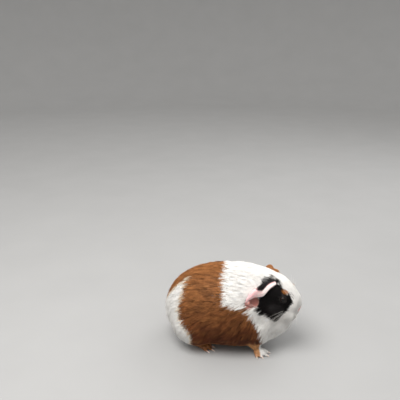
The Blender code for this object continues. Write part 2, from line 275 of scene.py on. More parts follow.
def set_points(mesh, points):
    mesh.vertices.foreach_set("co", flat(points * MM))
    mesh.update()


def set_colours(mesh, colours):
    """Gives each point of the mesh its colour, as the attribute that the materials read."""
    shade = np.ones((len(colours), 4))
    shade[:, :3] = colours
    attribute = mesh.attributes.new("coat", "FLOAT_COLOR", "POINT")
    attribute.data.foreach_set("color", flat(shade))


def relaxed(mesh, points, share, rounds):
    """The points, each drawn by its share towards the middle of its neighbours, some rounds over."""
    pairs = read_table(mesh.edges, "vertices", 2, np.int32)
    ends = pairs.T.ravel()
    others = pairs[:, ::-1].T.ravel()[np.argsort(ends, kind="stable")]
    counts = np.bincount(ends, minlength=len(points))
    starts = np.concatenate([[0], np.cumsum(counts)[:-1]])
    share = np.asarray(share)[:, None]
    for _ in range(rounds):
        mean = np.add.reduceat(points[others], starts, axis=0) / counts[:, None]
        points = points + (mean - points) * share
    return points


def unwrapped(obj):
    """Gives the object an unwrap of its own shape, OFBake, which its hairs share."""
    bpy.context.view_layer.objects.active = obj
    obj.select_set(True)
    for layer in list(obj.data.uv_layers):
        obj.data.uv_layers.remove(layer)
    obj.data.uv_layers.new(name="OFBake")
    bpy.ops.object.mode_set(mode="EDIT")
    bpy.ops.mesh.select_all(action="SELECT")
    bpy.ops.uv.smart_project(angle_limit=math.radians(66), island_margin=0.003)
    bpy.ops.object.mode_set(mode="OBJECT")
    obj.select_set(False)
    return obj


def from_rows(name, points, faces):
    """An object of points in mm and faces, shaded smooth."""
    mesh = bpy.data.meshes.new(name)
    mesh.from_pydata((np.asarray(points) * MM).tolist(), [], faces)
    mesh.update()
    mesh.shade_smooth()
    return link(bpy.data.objects.new(name, mesh))


def tube_faces(rings, sides, closed):
    """The faces of a tube of rings one after another, joined to a loop or with pointed ends."""
    faces = []
    for ring in range(rings if closed else rings - 1):
        after = (ring + 1) % rings
        for k in range(sides):
            n = (k + 1) % sides
            faces.append((ring * sides + k, ring * sides + n, after * sides + n, after * sides + k))
    if not closed:
        faces.append(tuple(reversed(range(sides))))
        faces.append(tuple(range((rings - 1) * sides, rings * sides)))
    return faces


def tube_points(line, across, high, radii, sides):
    """Rings of points round a line; across and high are unit vectors square to it."""
    rings = []
    for k in range(sides):
        angle = 2 * math.pi * k / sides
        offset = across * math.cos(angle) + high * math.sin(angle)
        rings.append(line + offset * np.asarray(radii)[:, None])
    return np.stack(rings, 1).reshape(-1, 3)


# ---- the lie of the coat

# Where on the animal, which way the hair lies there, its length and the depth of the coat.
# A place off the middle stands for both sides.
BODY_LIE = [
    ((24, 0, 114), (-1, 0, -0.05), 15, 5.5),
    ((0, 0, 115), (-1, 0, 0), 17, 6.5),
    ((-30, 0, 109), (-1, 0, -0.15), 18, 6.5),
    ((-62, 0, 95), (-1, 0, -0.45), 17, 6),
    ((-82, 0, 72), (-0.5, 0, -0.9), 16, 5.5),
    ((-93, 0, 45), (-0.15, 0, -1), 14, 5.5),
    ((-86, 0, 18), (0.15, 0, -1), 12, 4.5),
    ((14, 34, 104), (-1, 0.05, -0.12), 16, 6),
    ((-32, 40, 94), (-1, 0, -0.12), 18, 6.5),
    ((-68, 34, 76), (-0.95, 0, -0.4), 16, 6),
    ((22, 48, 80), (-0.9, 0.05, -0.44), 15, 6),
    ((-20, 54, 70), (-0.93, 0, -0.38), 17, 6.5),
    ((-58, 50, 60), (-0.85, 0, -0.52), 16, 6),
    ((-84, 26, 45), (-0.5, 0, -0.85), 14, 5.5),
    ((36, 46, 60), (-0.5, 0.05, -0.87), 15, 5.5),
    ((10, 54, 48), (-0.68, 0, -0.73), 17, 6),
    ((-25, 56, 42), (-0.76, 0, -0.65), 16, 5.5),
    ((-62, 52, 32), (-0.6, 0, -0.8), 14, 5),
    ((-80, 30, 18), (-0.1, 0, -1), 12, 4.5),
    ((42, 42, 36), (-0.35, 0.05, -0.93), 14, 5),
    ((12, 48, 24), (-0.4, 0, -0.92), 15, 5),
    ((-22, 50, 16), (-0.6, 0, -0.8), 13, 4.5),
    ((48, 30, 22), (-0.15, 0.1, -1), 10, 3.5),
    ((60, 0, 30), (-0.35, 0, -0.95), 13, 5),
    ((66, 14, 42), (-0.5, 0.1, -0.85), 12, 4.5),
    ((20, 0, 8), (-1, 0, 0), 12, 4.5),
    ((-40, 0, 7), (-1, 0, 0), 12, 4),
]
HEAD_LIE = [
    ((55, 0, -5), (-0.5, 0, 0.85), 2.0, 0.5),
    ((54, 4, -11), (-0.7, 0.7, 0.1), 1.8, 0.4),
    ((47, 0, 5), (-0.9, 0, 0.4), 3.2, 0.8),
    ((38, 0, 13), (-0.95, 0, 0.3), 4.5, 1.2),
    ((26, 0, 18), (-1, 0, 0.1), 6.5, 1.8),
    ((8, 0, 21), (-1, 0, 0), 10, 3),
    ((-12, 0, 20), (-1, 0, 0), 13, 4.5),
    ((44, 9, -2), (-0.95, 0.3, 0.15), 3.8, 1),
    ((46, 10, -14), (-0.9, 0.4, -0.05), 4, 1.2),
    ((50, 5, -19), (-0.7, 0.5, -0.3), 2.4, 0.7),
    ((36, 17, -8), (-0.95, 0.2, -0.1), 5.5, 1.5),
    ((22, 15, 12), (-1, 0.1, 0.05), 5.5, 1.6),
    ((14, 21, 6), (-1, 0.1, -0.1), 5.5, 1.8),
    ((12, 24, -8), (-0.95, 0.1, -0.3), 8, 2.5),
    ((28, 20, -18), (-0.9, 0.15, -0.4), 8, 2.4),
    ((10, 26, -26), (-0.85, 0.1, -0.5), 11, 3.8),
    ((-8, 30, -20), (-0.9, 0.1, -0.4), 13, 4.8),
    ((36, 10, -30), (-0.9, 0.2, -0.35), 6, 2),
    ((48, 0, -28), (-0.8, 0, -0.6), 3.5, 1),
    ((22, 8, -44), (-0.9, 0, -0.4), 11, 4),
    ((-2, 20, 14), (-1, 0.1, 0), 8, 2.6),
]
# The paws' hair is short: node, direction, length, depth.
PAW_LIE = {
    "forepaw": ((0.75, 0, -0.6), 3.2, 0.5),
    "hind_foot": ((0.9, 0, -0.35), 3.0, 0.5),
}


def mirrored(rows):
    """Each row, and its like on the other side where its place is off the middle."""
    both = []
    for place, lie, length, depth in rows:
        for sign in (1, -1) if place[1] else (1,):
            flip = np.array((1, sign, 1))
            both.append((place * flip, lie * flip, length, depth))
    return both


def lie_table():
    """All the places of the tables above, in the frame's axes, as arrays."""
    rows = mirrored(BODY_LIE)
    for place, lie, length, depth in mirrored(HEAD_LIE):
        rows.append((from_head(place), HEAD_TURN @ np.array(lie), length, depth))
    for side in SIDES:
        for part, (lie, length, depth) in PAW_LIE.items():
            low, high = (np.array(corner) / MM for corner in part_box(f"{side}_{part}"))
            for share in (0.15, 0.5, 0.85):
                place = low + (high - low) * np.array((share, 0.5, 0.45))
                rows.append((place, lie, length, depth))
    places, lies, lengths, depths = (np.array(column, float) for column in zip(*rows))
    return places, unit(lies), lengths, depths * FLATNESS


FLATNESS = 0.8  # share of the tables' depths that this sleek coat has
LIE_PLACES, LIE_WAYS, LIE_LENGTHS, LIE_DEPTHS = lie_table()
LIE_SOFTNESS = 5.0  # mm, over which one place of the tables gives way to the next
EYE_BARENESS = 0.62  # the share by which the coat is shorter at the lids
EYE_REACH = 3.2  # mm beyond the eye where the coat has its own length again
BATCH = 20000  # points worked out at a time, to spare memory


def coat_at(points):
    """At each point the way the hair lies (not yet laid on the surface), its length and depth."""
    ways = np.empty((len(points), 3))
    lengths = np.empty(len(points))
    depths = np.empty(len(points))
    for start in range(0, len(points), BATCH):
        part = slice(start, start + BATCH)
        apart = ((points[part, None] - LIE_PLACES) ** 2).sum(2)
        weight = (apart + LIE_SOFTNESS**2) ** -2.0
        weight /= weight.sum(1, keepdims=True)
        ways[part] = weight @ LIE_WAYS
        lengths[part] = weight @ LIE_LENGTHS
        depths[part] = weight @ LIE_DEPTHS
    for eye in EYES.values():
        away = points - eye
        apart = lengths_of(away) - EYE_RADIUS
        close = np.exp(-((np.maximum(apart, 0) / EYE_REACH) ** 2))
        lengths = lengths * (1 - EYE_BARENESS * close)
        depths = depths * (1 - EYE_BARENESS * close)
        ways = ways * (1 - 0.9 * close[:, None]) + unit(away) * 0.9 * close[:, None]
    return ways, lengths, depths


# ---- eyes and lids

EYE_TILT = 0.16  # lean of its upright towards the nose
OPENING = (5.1, 4.4)  # half width and half height of the lids' opening, mm on the ball
OPENING_ROUNDNESS = 1.8  # 2 is an ellipse, less has sharper corners
LID_RISE = 0.3  # mm of the lids over the ball, and more at their edge
LID_EDGE = 0.6
LID_FADE = (2.0, 5.5)  # mm beyond the opening where the lids turn into the face
EYE_BULGE = 0.045  # share by which an eye's clear front stands out
RIM_STEPS, RIM_SIDES = 96, 10
RIM_RADIUS = 0.34


def eye_axes(side):
    """The way out of the head through the eye, and ahead and up across it."""
    out = unit(eye_look(side))
    up = HEAD_TURN @ np.array((EYE_TILT, 0, 1))
    up = unit(up - out * (up @ out))
    return out, SIDES[side] * np.cross(out, up), up


def beyond_opening(points, side):
    """How many mm along the ball each point is outside the opening of the lids."""
    out, ahead, up = eye_axes(side)
    away = points - EYES[side]
    facing = away @ out
    along = EYE_RADIUS * np.arctan2(away @ ahead, facing) / OPENING[0]
    high = EYE_RADIUS * np.arctan2(away @ up, facing) / OPENING[1]
    reach = (abs(along) ** OPENING_ROUNDNESS + abs(high) ** OPENING_ROUNDNESS) ** (1 / OPENING_ROUNDNESS)
    return (reach - 1) * OPENING[1]


def with_lids(points):
    """The skin's points, drawn over both eyes as lids and away from under their openings."""
    for side, eye in EYES.items():
        away = points - eye
        apart = lengths_of(away)
        beyond = beyond_opening(points, side)
        lid = EYE_RADIUS + LID_RISE + LID_EDGE * hump(beyond, 0.6, 0.8) - 0.4 * hump(beyond, 2.5, 0.6)
        hidden = EYE_RADIUS * 0.8
        target = hidden + (lid - hidden) * smoothstep(beyond, -0.45, 0.05)
        share = fade(beyond, *LID_FADE)
        share[apart > 2.2 * EYE_RADIUS] = 0
        points = points + unit(away) * ((target - apart) * share)[:, None]
    return points


def eye_ball(side):
    """An eye: a ball with a clear bulge over its iris, in a frame that looks along its own Z."""
    shape = bmesh.new()
    bmesh.ops.create_uvsphere(shape, u_segments=64, v_segments=40, radius=EYE_RADIUS * MM)
    for vertex in shape.verts:
        from_pole = math.acos(min(1, max(-1, vertex.co.normalized().z)))
        vertex.co *= 1 + float(EYE_BULGE * fade(from_pole, 0.15, 0.85))
    ball = as_object(shape, f"{side}_eyeball")
    out, _, up = (Vector(axis) for axis in eye_axes(side))
    turn = Matrix((up.cross(out), up, out)).transposed().to_4x4()
    ball.matrix_world = Matrix.Translation(Vector(EYES[side]) * MM) @ turn
    return ball


def eyelid_rim(side):
    """The moist edge of the lids, a thin roll round the opening."""
    out, ahead, up = eye_axes(side)
    angles = np.arange(RIM_STEPS) * 2 * math.pi / RIM_STEPS
    ways = out
    for wave, half, axis in ((np.cos(angles), OPENING[0], ahead), (np.sin(angles), OPENING[1], up)):
        on_ball = half * np.sign(wave) * abs(wave) ** (2 / OPENING_ROUNDNESS)
        ways = ways + np.outer(np.tan(on_ball / EYE_RADIUS), axis)
    ways = unit(ways)
    line = EYES[side] + ways * (EYE_RADIUS + LID_RISE * 0.6)
    across = unit(np.cross(np.roll(line, -1, 0) - np.roll(line, 1, 0), ways))
    radii = RIM_RADIUS + 0.08 * np.cos(2 * angles)
    points = tube_points(line, across, ways, radii, RIM_SIDES)
    return from_rows(f"{side}_eyelid", points, tube_faces(RIM_STEPS, RIM_SIDES, True))


# ---- ears' hollows, nose and mouth

# The hollow that each ear opens into, in the head's axes: its middle, radii and depth.
CONCHES = {
    "right": ((-2.5, -37, -17), (7.5, 10, 9), 3.5),
    "left": ((-6, 33, -18), (7.5, 9, 8), 2.0),
}

NOSE_PAD = ((53.5, 0, -11.5), (6.8, 6.6, 4.4))  # the bare skin of the nose: middle, radii
NOSTRIL = ((2.3, -12.8), (5.0, -9.4))  # from the middle line out, and height, in the head's axes
NOSTRIL_DEPTH, NOSTRIL_WIDTH = 1.9, 0.75
MOUTH_FRONT = np.array((50, 0, -25))  # where the lips meet, in the head's axes
MOUTH_SLOPE = unit(np.array((0.33, 0, -0.94)))  # square to the line between the lips
MOUTH_REACH = (36, 41)  # its corner lies between these
LIP_GROOVE = 1.3


def in_conch(head):
    """1 in the bare hollow that each ear opens into, in the head's axes, falling to 0 round it."""
    return sum(near(head, middle, radii) for middle, radii, _ in CONCHES.values())


def with_conches(points):
    """The skin's points, pressed in where the ears open."""
    head = to_head(points)
    for middle, radii, deep in CONCHES.values():
        inward = unit(HEAD_TURN @ np.array((0.1, -middle[1], 8)))
        points = points + np.outer(deep * smoothstep(near(head, middle, radii), 0.2, 1), inward)
    return points


def nostril_at(head):
    """1 in the nostrils' slits, falling to 0 beside them; the second is their raised edge."""
    apart = off_stretch(np.stack([abs(head[:, 1]), head[:, 2]], 1), *np.array(NOSTRIL))
    front = smoothstep(head[:, 0], 46, 49)
    return hump(apart, 0, NOSTRIL_WIDTH) * front, hump(apart, 1.5, 0.55) * front


def mouth_at(head):
    """How far, in mm, each point is below the line of the lips, and 1 where that line runs."""
    aside = abs(head[:, 1])
    below = (head - MOUTH_FRONT) @ MOUTH_SLOPE - 0.3 * aside
    return below, smoothstep(head[:, 0], *MOUTH_REACH) * fade(aside, 5, 10)


def with_muzzle(points):
    """The skin's points with the nostrils, the cleft under them and the lips pressed in."""
    head = to_head(points)
    slit, edge = nostril_at(head)
    below, along = mouth_at(head)
    x, y, z = head.T
    cleft = hump(y, 0, 0.5) * smoothstep(z, -25.5, -24) * fade(z, -14, -12)
    cleft *= smoothstep(x, 44, 47)
    sink = NOSTRIL_DEPTH * slit - 0.3 * edge + 0.7 * cleft
    sink += along * (LIP_GROOVE * hump(below, 0, 0.7) - 0.5 * hump(below, -1.9, 1.1))
    inward = unit(HEAD_TURN @ np.array((-1, 0, 0.15)))
    return points + np.outer(sink, inward)


# ---- the skin

GROW = 0.35  # mm by which each solid is swollen, so that the cuts between them close
SKIN_VOXEL = 0.8
SKIN_FACES = 0.42  # share of the faces that stay
SMOOTHING = ((0.15, 26), (0.1, 10))  # least share and rounds, before and after the skin is sunk
SOFT_COAT = (0.45, (0.7, 4.5))  # further share where the coat is deeper than these mm


def flesh_shell():
    """All nodes of flesh and the eyes as one mesh, each grown so that the cuts between them close."""
    shell = bmesh.new()
    for name in FLESH + [f"{side}_eye" for side in SIDES]:
        solid = solid_of(name)
        solid.normal_update()
        for vertex in solid.verts:
            vertex.co += vertex.normal * GROW * MM
        part = bpy.data.meshes.new("part")
        solid.to_mesh(part)
        solid.free()
        shell.from_mesh(part)
        bpy.data.meshes.remove(part)
    return as_object(shell, "skin")


def base_skin():
    """The one skin: the nodes of flesh closed into one body, smoothed, and sunk by the coat's depth."""
    skin = with_modifier(flesh_shell(), "REMESH", mode="VOXEL", voxel_size=SKIN_VOXEL * MM)
    mesh = skin.data
    points = points_of(mesh)
    depths = coat_at(points)[2]
    soft = SOFT_COAT[0] * smoothstep(depths, *SOFT_COAT[1])
    (first, many), (second, few) = SMOOTHING
    points = relaxed(mesh, points, first + soft, many)
    set_points(mesh, points)
    points -= normals_of(mesh) * (depths + GROW)[:, None]
    set_points(mesh, relaxed(mesh, points, second + soft, few))
    return skin


def thinned(skin):
    """Fewer faces where the coat is deep, as nothing fine of the skin shows there."""
    weights = smoothstep(coat_at(points_of(skin.data))[2], 2.2, 4.5)
    group = skin.vertex_groups.new(name="plain")
    for level in range(1, 11):
        chosen = np.flatnonzero(np.ceil(weights * 10) == level)
        if len(chosen):
            group.add(chosen.tolist(), level / 10, "REPLACE")
    with_modifier(skin, "DECIMATE", ratio=SKIN_FACES, vertex_group=group.name)
    skin.vertex_groups.clear()
    return skin


def refined(skin, spots, reach):
    """Cuts each face of the skin near those spots in four."""
    middles = read_vectors(skin.data.polygons, "center") / MM
    chosen = np.zeros(len(middles), bool)
    for spot in spots:
        chosen |= lengths_of(middles - spot) < reach
    shape = bmesh.new()
    shape.from_mesh(skin.data)
    shape.faces.ensure_lookup_table()
    edges = {edge for row in np.flatnonzero(chosen) for edge in shape.faces[row].edges}
    bmesh.ops.subdivide_edges(shape, edges=list(edges), cuts=1, use_grid_fill=True)
    many = [face for face in shape.faces if len(face.verts) > 4]
    bmesh.ops.triangulate(shape, faces=many)
    shape.to_mesh(skin.data)
    shape.free()
    return skin


def face_spots():
    """The places on the skin that have the finest shapes: round the eyes, nose and lips."""
    eyes = [EYES[side] + eye_axes(side)[0] * EYE_RADIUS * 0.7 for side in SIDES]
    lips = from_head([(47, 5, -25), (47, -5, -25), (42, 11, -28), (42, -11, -28)])
    return eyes + [NOSE] + list(lips)


def made_skin():
    """The skin with the face's fine shapes and its unwrap."""
    skin = thinned(base_skin())
    for reach in (9.0, 8.0):
        refined(skin, face_spots(), reach)
    points = with_conches(with_muzzle(with_lids(points_of(skin.data))))
    set_points(skin.data, points)
    skin.data.shade_smooth()
    return unwrapped(skin)


class Ground:
    """A surface that hair stands on: its triangles, the nearest place on it, and the coat's lie there."""

    def __init__(self, mesh, lie):
        mesh.calc_loop_triangles()
        self.lie = lie
        self.points = points_of(mesh)
        self.normals = normals_of(mesh)
        self.corners = read_table(mesh.loop_triangles, "vertices", 3, np.int32)
        self.loops = read_table(mesh.loop_triangles, "loops", 3, np.int32)
        self.uvs = read_vectors(mesh.uv_layers["OFBake"].data, "uv", 2)
        a, b, c = (self.points[self.corners[:, k]] for k in range(3))
        self.areas = lengths_of(np.cross(b - a, c - a)) / 2
        self.middles = (a + b + c) / 3
        self.facings = unit(self.normals[self.corners].mean(1))
        self.tree = bvhtree.BVHTree.FromPolygons(self.points.tolist(), self.corners.tolist())

    def nearest(self, places):
        """The nearest places on the surface and the surface's facing there."""
        found = np.empty((len(places), 3))
        faces = np.empty(len(places), np.int64)
        for row, place in enumerate(places.tolist()):
            spot, _, face, _ = self.tree.find_nearest(place)
            found[row] = spot
            faces[row] = face
        return found, self.facings[faces]

    def scattered(self, per_mm2, rng):
        """Places strewn over the surface so many to the square mm: places, normals and unwrap."""
        wanted = per_mm2 * self.areas
        count = int(wanted.sum())
        faces = rng.choice(len(wanted), size=count, p=wanted / wanted.sum())
        share = rng.uniform(size=(count, 2))
        folded = share.sum(1) > 1
        share[folded] = 1 - share[folded]
        weights = np.stack([1 - share.sum(1), share[:, 0], share[:, 1]], 1)[:, :, None]
        places = (self.points[self.corners[faces]] * weights).sum(1)
        facing = unit((self.normals[self.corners[faces]] * weights).sum(1))
        uvs = (self.uvs[self.loops[faces]] * weights).sum(1)
        return places, facing, uvs


# ---- ears

# From the top of the head round behind the ear to the cheek, in the head's axes: how far ahead,
# out from the middle line, and up lie the ear's root, its back and its free rim.
EAR_ROOT = ((8, 12, 9), (1, 20, 5), (-4, 25, -2), (-7, 27, -9), (-5, 28, -18), (4, 29, -27))
EAR_BACK = (
    (10.5, 14, 14.8), (2.5, 24, 11), (-3, 36, 4.8), (-8, 41, -4.5), (-10.5, 42, -16.5), (3, 32, -31),
)
EAR_RIM = (
    (13, 16, 11.8), (10, 27, 9), (6.6, 34, -1.8), (-3.2, 41, -7), (-9.5, 46, -17.2), (-3.5, 42, -20),
    (4.6, 38, -18.5), (5.2, 34, -29.3),
)
# Shares across the ear, at its top and further down, and along it, that are thick with hair.
EAR_FUR = {"right": (0.62, 0.84, 0.38), "left": (0.95, 0.95, 0.62)}
LEFT_EAR_SHIFT = (6, 0, 2.3)  # mm that the left ear lies further back and lower
EAR_STEPS = (64, 24)
EAR_THICKNESS = (1.1, 0.55)  # at the root and at the rim
STRIP = 0.36  # share of the rim, from the top, that is rolled out into a pale strip
LOBE, HOLLOW, FOOT = 0.50, 0.72, 0.93  # where along the ear its flap, its hollow and its foot are


def ear_sheet(side, s, t):
    """Points of the ear, in the head's axes, at shares s along it and t from its root to its rim."""
    root, back, rim = (curve_at(rows, s) for rows in (EAR_ROOT, EAR_BACK, EAR_RIM))
    handle = 2 * back - (root + rim) / 2
    t = t[:, None]
    points = (1 - t) ** 2 * root + 2 * t * (1 - t) * handle + t**2 * rim
    points[:, 1] *= SIDES[side]
    if side == "left":
        points -= np.array(LEFT_EAR_SHIFT)
    return points


def ear_relief(s, t):
    """How far the ear's folds stand out from its plain sheet."""
    strip = 1.0 * hump(t, 0.92, 0.1) * fade(s, STRIP - 0.1, STRIP + 0.05)
    furrow = -1.5 * hump(t, 0.66, 0.14) * hump(s, 0.2, 0.2)
    lobe = 2.2 * hump(s, LOBE, 0.13) * hump(t, 0.65, 0.4)
    hollow = -5.0 * hump(s, HOLLOW, 0.075) * smoothstep(t, 0.15, 0.6) * (1 - 0.7 * smoothstep(t, 0.86, 1))
    foot = 1.3 * hump(s, FOOT, 0.07) * smoothstep(t, 0.2, 0.7)
    folds = 0.16 * np.sin(34 * t + 9 * s) * hump(s, LOBE, 0.2)
    return strip + furrow + lobe + hollow + foot + folds


def make_ear(side):
    """An ear as a thin, folded sheet; its spot attribute holds s, t and 1 outside or -1 inside."""
    along, across = EAR_STEPS
    grid = np.meshgrid(np.linspace(0, 1, along), np.linspace(0, 1, across), indexing="ij")
    s, t = (part.ravel() for part in grid)
    sheet = ear_sheet(side, s, t)
    step = 0.004
    ds = ear_sheet(side, np.minimum(s + step, 1), t) - ear_sheet(side, np.maximum(s - step, 0), t)
    dt = ear_sheet(side, s, np.minimum(t + step, 1)) - ear_sheet(side, s, np.maximum(t - step, 0))
    outward = unit(np.cross(ds, dt))
    if (outward @ np.array((0, SIDES[side], 0.4))).mean() < 0:
        outward = -outward
    sheet = sheet + outward * ear_relief(s, t)[:, None]
    half = (EAR_THICKNESS[0] + (EAR_THICKNESS[1] - EAR_THICKNESS[0]) * t)[:, None] / 2
    points = from_head(np.concatenate([sheet + outward * half, sheet - outward * half]))
    ear = from_rows(f"{side}_ear_sheet", points, ear_faces(along, across))
    spots = np.stack([np.tile(s, 2), np.tile(t, 2), np.repeat((1.0, -1.0), len(s))], 1)
    spot = ear.data.attributes.new("spot", "FLOAT_VECTOR", "POINT")
    spot.data.foreach_set("vector", flat(spots))
    turned_out(ear)
    with_modifier(ear, "SUBSURF", levels=1, render_levels=1)
    set_colours(ear.data, ear_colours(side, points_of(ear.data), spots_on(ear)))
    return unwrapped(ear)


def ear_faces(along, across):
    """The faces of a closed sheet: its outer and inner sides in turn, then its border."""
    rows = np.arange(along * across).reshape(along, across)
    outer = np.stack([rows[:-1, :-1], rows[1:, :-1], rows[1:, 1:], rows[:-1, 1:]], -1).reshape(-1, 4)
    sides = np.stack([outer, outer[:, ::-1] + rows.size], 1).reshape(-1, 4)
    border = np.concatenate([rows[:, 0], rows[-1, 1:], rows[-2::-1, -1], rows[0, -2:0:-1]])
    after = np.roll(border, -1)
    edge = np.stack([after, border, border + rows.size, after + rows.size], 1)
    return np.concatenate([sides, edge]).tolist()


def spots_on(ear):
    """At each of an ear's points how far along and across it lies, and on which side."""
    return read_vectors(ear.data.attributes["spot"].data, "vector")


def turned_out(obj):
    """Turns the faces of a closed mesh outwards."""
    shape = bmesh.new()
    shape.from_mesh(obj.data)
    bmesh.ops.recalc_face_normals(shape, faces=shape.faces)
    shape.to_mesh(obj.data)
    shape.free()


EAR_PINK = (0.90, 0.52, 0.52)
# Painted light: the pink of the lobe where light falls on it.
EAR_LIT_PINK = (0.96, 0.58, 0.60)
EAR_STRIP = (0.90, 0.72, 0.71)
# The veins' own red, also used as painted shade deep in the ears' hollows.
VEIN_AND_SHADE_RED = (0.52, 0.17, 0.145)
# The brownish skin of the ear's foot, also used as painted shade on the ear's inner side.
EAR_FOOT = (0.42, 0.22, 0.18)
EAR_DARK = (0.06, 0.04, 0.04)
EAR_BROWN = (0.36, 0.20, 0.155)
EAR_ORANGE = (0.55, 0.26, 0.10)


def ear_colours(side, points, spots):
    """The ear's bare skin: a pale strip at its rim, veins, painted light on its lobe, painted shade in its
    hollow and on its inner side, and dark under the hair of its root.
    """
    s, t, out = spots.T
    inside = smoothstep(-out, -0.2, 0.4)
    vein = fade(abs(ripples(points, 7, 41)), 0.0, 0.16)
    furred = ear_fur(side, s, t) * (1 - inside)
    colours = painted(
        EAR_PINK,
        # Painted light: the lobe, which bulges up towards the light, paler.
        (EAR_LIT_PINK, 0.85 * hump(s, LOBE, 0.14) * smoothstep(t, 0.15, 0.5)),
        (EAR_STRIP, smoothstep(t, 0.72, 0.82) * fade(s, STRIP - 0.12, STRIP + 0.02)),
        (VEIN_AND_SHADE_RED, 0.25 * vein),
        # Painted shade: dark red deep in the hollow under the lobe.
        (VEIN_AND_SHADE_RED, 0.95 * hump(s, HOLLOW, 0.08) * smoothstep(t, 0.1, 0.4)),
        (EAR_FOOT, 0.85 * smoothstep(s, 0.80, 0.88)),
        # Painted shade: the ear's inner side darker.
        (EAR_FOOT, 0.6 * inside),
    )
    if side == "right":
        return painted(colours, (EAR_DARK, furred))
    # Painted light: an orange glow on the front of the left ear.
    painted_glow = 0.8 * hump(s, 0.25, 0.25)
    return painted(colours * 0.85, (EAR_BROWN, 0.8), (EAR_ORANGE, painted_glow), (EAR_ORANGE, furred))


def ear_fur(side, s, t):
    """1 where an ear is thick with hair: on its back, behind the pale strip."""
    top, low, along = EAR_FUR[side]
    across = top + (low - top) * smoothstep(s, 0.05, 0.3)
    edge = s + 0.06 * np.sin(9 * t)
    return fade(t, across - 0.12, across) * fade(edge, along - 0.1, along)


def ear_lie(side):
    """The lie of the fine hair on an ear: from its root out and back."""
    root = from_head(ear_sheet(side, np.array([0.3]), np.array([0.0])))[0]

    def lie(points):
        ways = 0.7 * unit(points - root) + np.array((-0.8, 0, -0.25))
        apart = lengths_of(points - root)
        lengths = 4.6 - 2.6 * smoothstep(apart, 8, 22)
        return unit(ways), lengths, np.full(len(points), 0.55)

    return lie


# ---- claws and whiskers

CLAWS = {"forepaw": 4, "hind_foot": 3}
CLAW_ROOT = (0.72, 0.50, 0.44)
CLAW_TIP = (0.80, 0.74, 0.64)
CLAW_SWELL = 0.12  # mm put back on a claw after its smoothing


def fine_claw(node, paw):
    """A smooth claw where the solid one is, pink in its quick and pale at its tip."""
    claw = as_object(solid_of(node), f"fine_{node}")
    with_modifier(claw, "SUBSURF", levels=2, render_levels=2)
    points = points_of(claw.data)
    swell = CLAW_SWELL * smoothstep(points[:, 2], 0.3, 1.0)
    set_points(claw.data, points + normals_of(claw.data) * swell[:, None])
    apart = lengths_of(points - np.array(centre_of(paw)))
    tip = (CLAW_TIP, smoothstep(apart, apart.min(), apart.max()))
    set_colours(claw.data, painted(CLAW_ROOT, tip))
    return claw


WHISKER_STEPS, WHISKER_SIDES = 14, 5
WHISKER_RADIUS = 0.084


def whisker_roots():
    """The whiskers: place and way in the head's axes for the left side, length, droop."""
    rows = []
    for row in range(4):
        for column in range(5):
            place = (49.5 - 2.9 * column, 7.0 + 1.5 * column, -15.5 - 2.7 * row)
            way = (0.3 - 0.28 * column, 0.75, 0.02 - 0.24 * row)
            rows.append((place, way, 14 + 4.2 * column - 1.0 * row, 0.38))
    for step in range(3):
        rows.append(((34 - 3 * step, 16, 8.5), (-0.3 - 0.2 * step, 0.4, 0.8), 12 + 2 * step, 0.2))
    for step in range(4):
        rows.append(((44 - 2.5 * step, 3 + 1.5 * step, -44), (0.15 - 0.2 * step, 0.4, -1), 8, -0.05))
    return rows


def make_whiskers(ground):
    """All the whiskers, as thin, bent and pointed tubes in one piece."""
    rng = np.random.default_rng(31)
    points, faces = [], []
    t = np.linspace(0, 1, WHISKER_STEPS)[:, None]
    base = 0
    for sign in SIDES.values():
        for place, way, length, droop in whisker_roots():
            flip = np.array((1, sign, 1))
            root = from_head(np.array(place) * flip + rng.normal(0, 0.5, 3))
            spot, facing = ground.nearest(root[None])
            way = HEAD_TURN @ (np.array(way) * flip) + rng.normal(0, 0.1, 3)
            way = unit(unit(way) + 0.5 * facing[0])
            length = length * rng.uniform(0.85, 1.15)
            bend = np.array((-0.3, 0, -droop)) + rng.normal(0, 0.05, 3)
            line = spot - facing * 0.8 + length * (way * t + bend * t**2)
            run = unit(np.gradient(line, axis=0))
            across = unit(np.cross(run, (0, 0.2, 1)))
            radii = WHISKER_RADIUS * (1 - t[:, 0]) ** 0.7 + 0.02
            points.append(tube_points(line, across, np.cross(run, across), radii, WHISKER_SIDES))
            for face in tube_faces(WHISKER_STEPS, WHISKER_SIDES, False):
                faces.append(tuple(corner + base for corner in face))
            base += len(points[-1])
    whiskers = from_rows("whiskers", np.concatenate(points), faces)
    turned_out(whiskers)
    return whiskers


# ---- markings, with painted shade and a painted highlight

WHITE = (0.925, 0.90, 0.865)
CREAM = (0.78, 0.64, 0.47)
BROWN = (0.30, 0.118, 0.040)
# Painted shade: the coat's brown low on the body, darker than up the back, where the top light falls less.
SHADED_LOW_BROWN = (0.125, 0.034, 0.012)
ORANGE = (0.46, 0.20, 0.065)
BLACK = (0.006, 0.004, 0.004)
UMBER = (0.06, 0.03, 0.02)
GREY = (0.50, 0.49, 0.49)
TAN = (0.50, 0.21, 0.07)
SPOT = (0.44, 0.16, 0.04)
PAW_ORANGE = (0.60, 0.30, 0.13)
NOSE_PINK = (0.84, 0.50, 0.48)
PAW_PINK = (0.78, 0.46, 0.40)
# Painted shade in the sunk nostrils and along the line of the lips.
NOSTRIL_AND_LIP_SHADE = (0.16, 0.05, 0.04)
LID_SHADES = {"right": (0.012, 0.009, 0.008), "left": (0.06, 0.03, 0.02)}

# The collar's rear edge: how far ahead it lies (x) at each height (z), on either side.
RIGHT_COLLAR = [
    (15, 45), (27, 43.6), (37, 41), (49, 35), (58, 31.5), (68, 24), (75, 14.6), (77, 0), (80, -8.7),
    (90, -9), (103, -13), (116, -15.5),
]
LEFT_COLLAR = [(10, 10), (20, 5), (40, -8), (60, -18), (80, -19), (100, -17), (116, -15.5)]
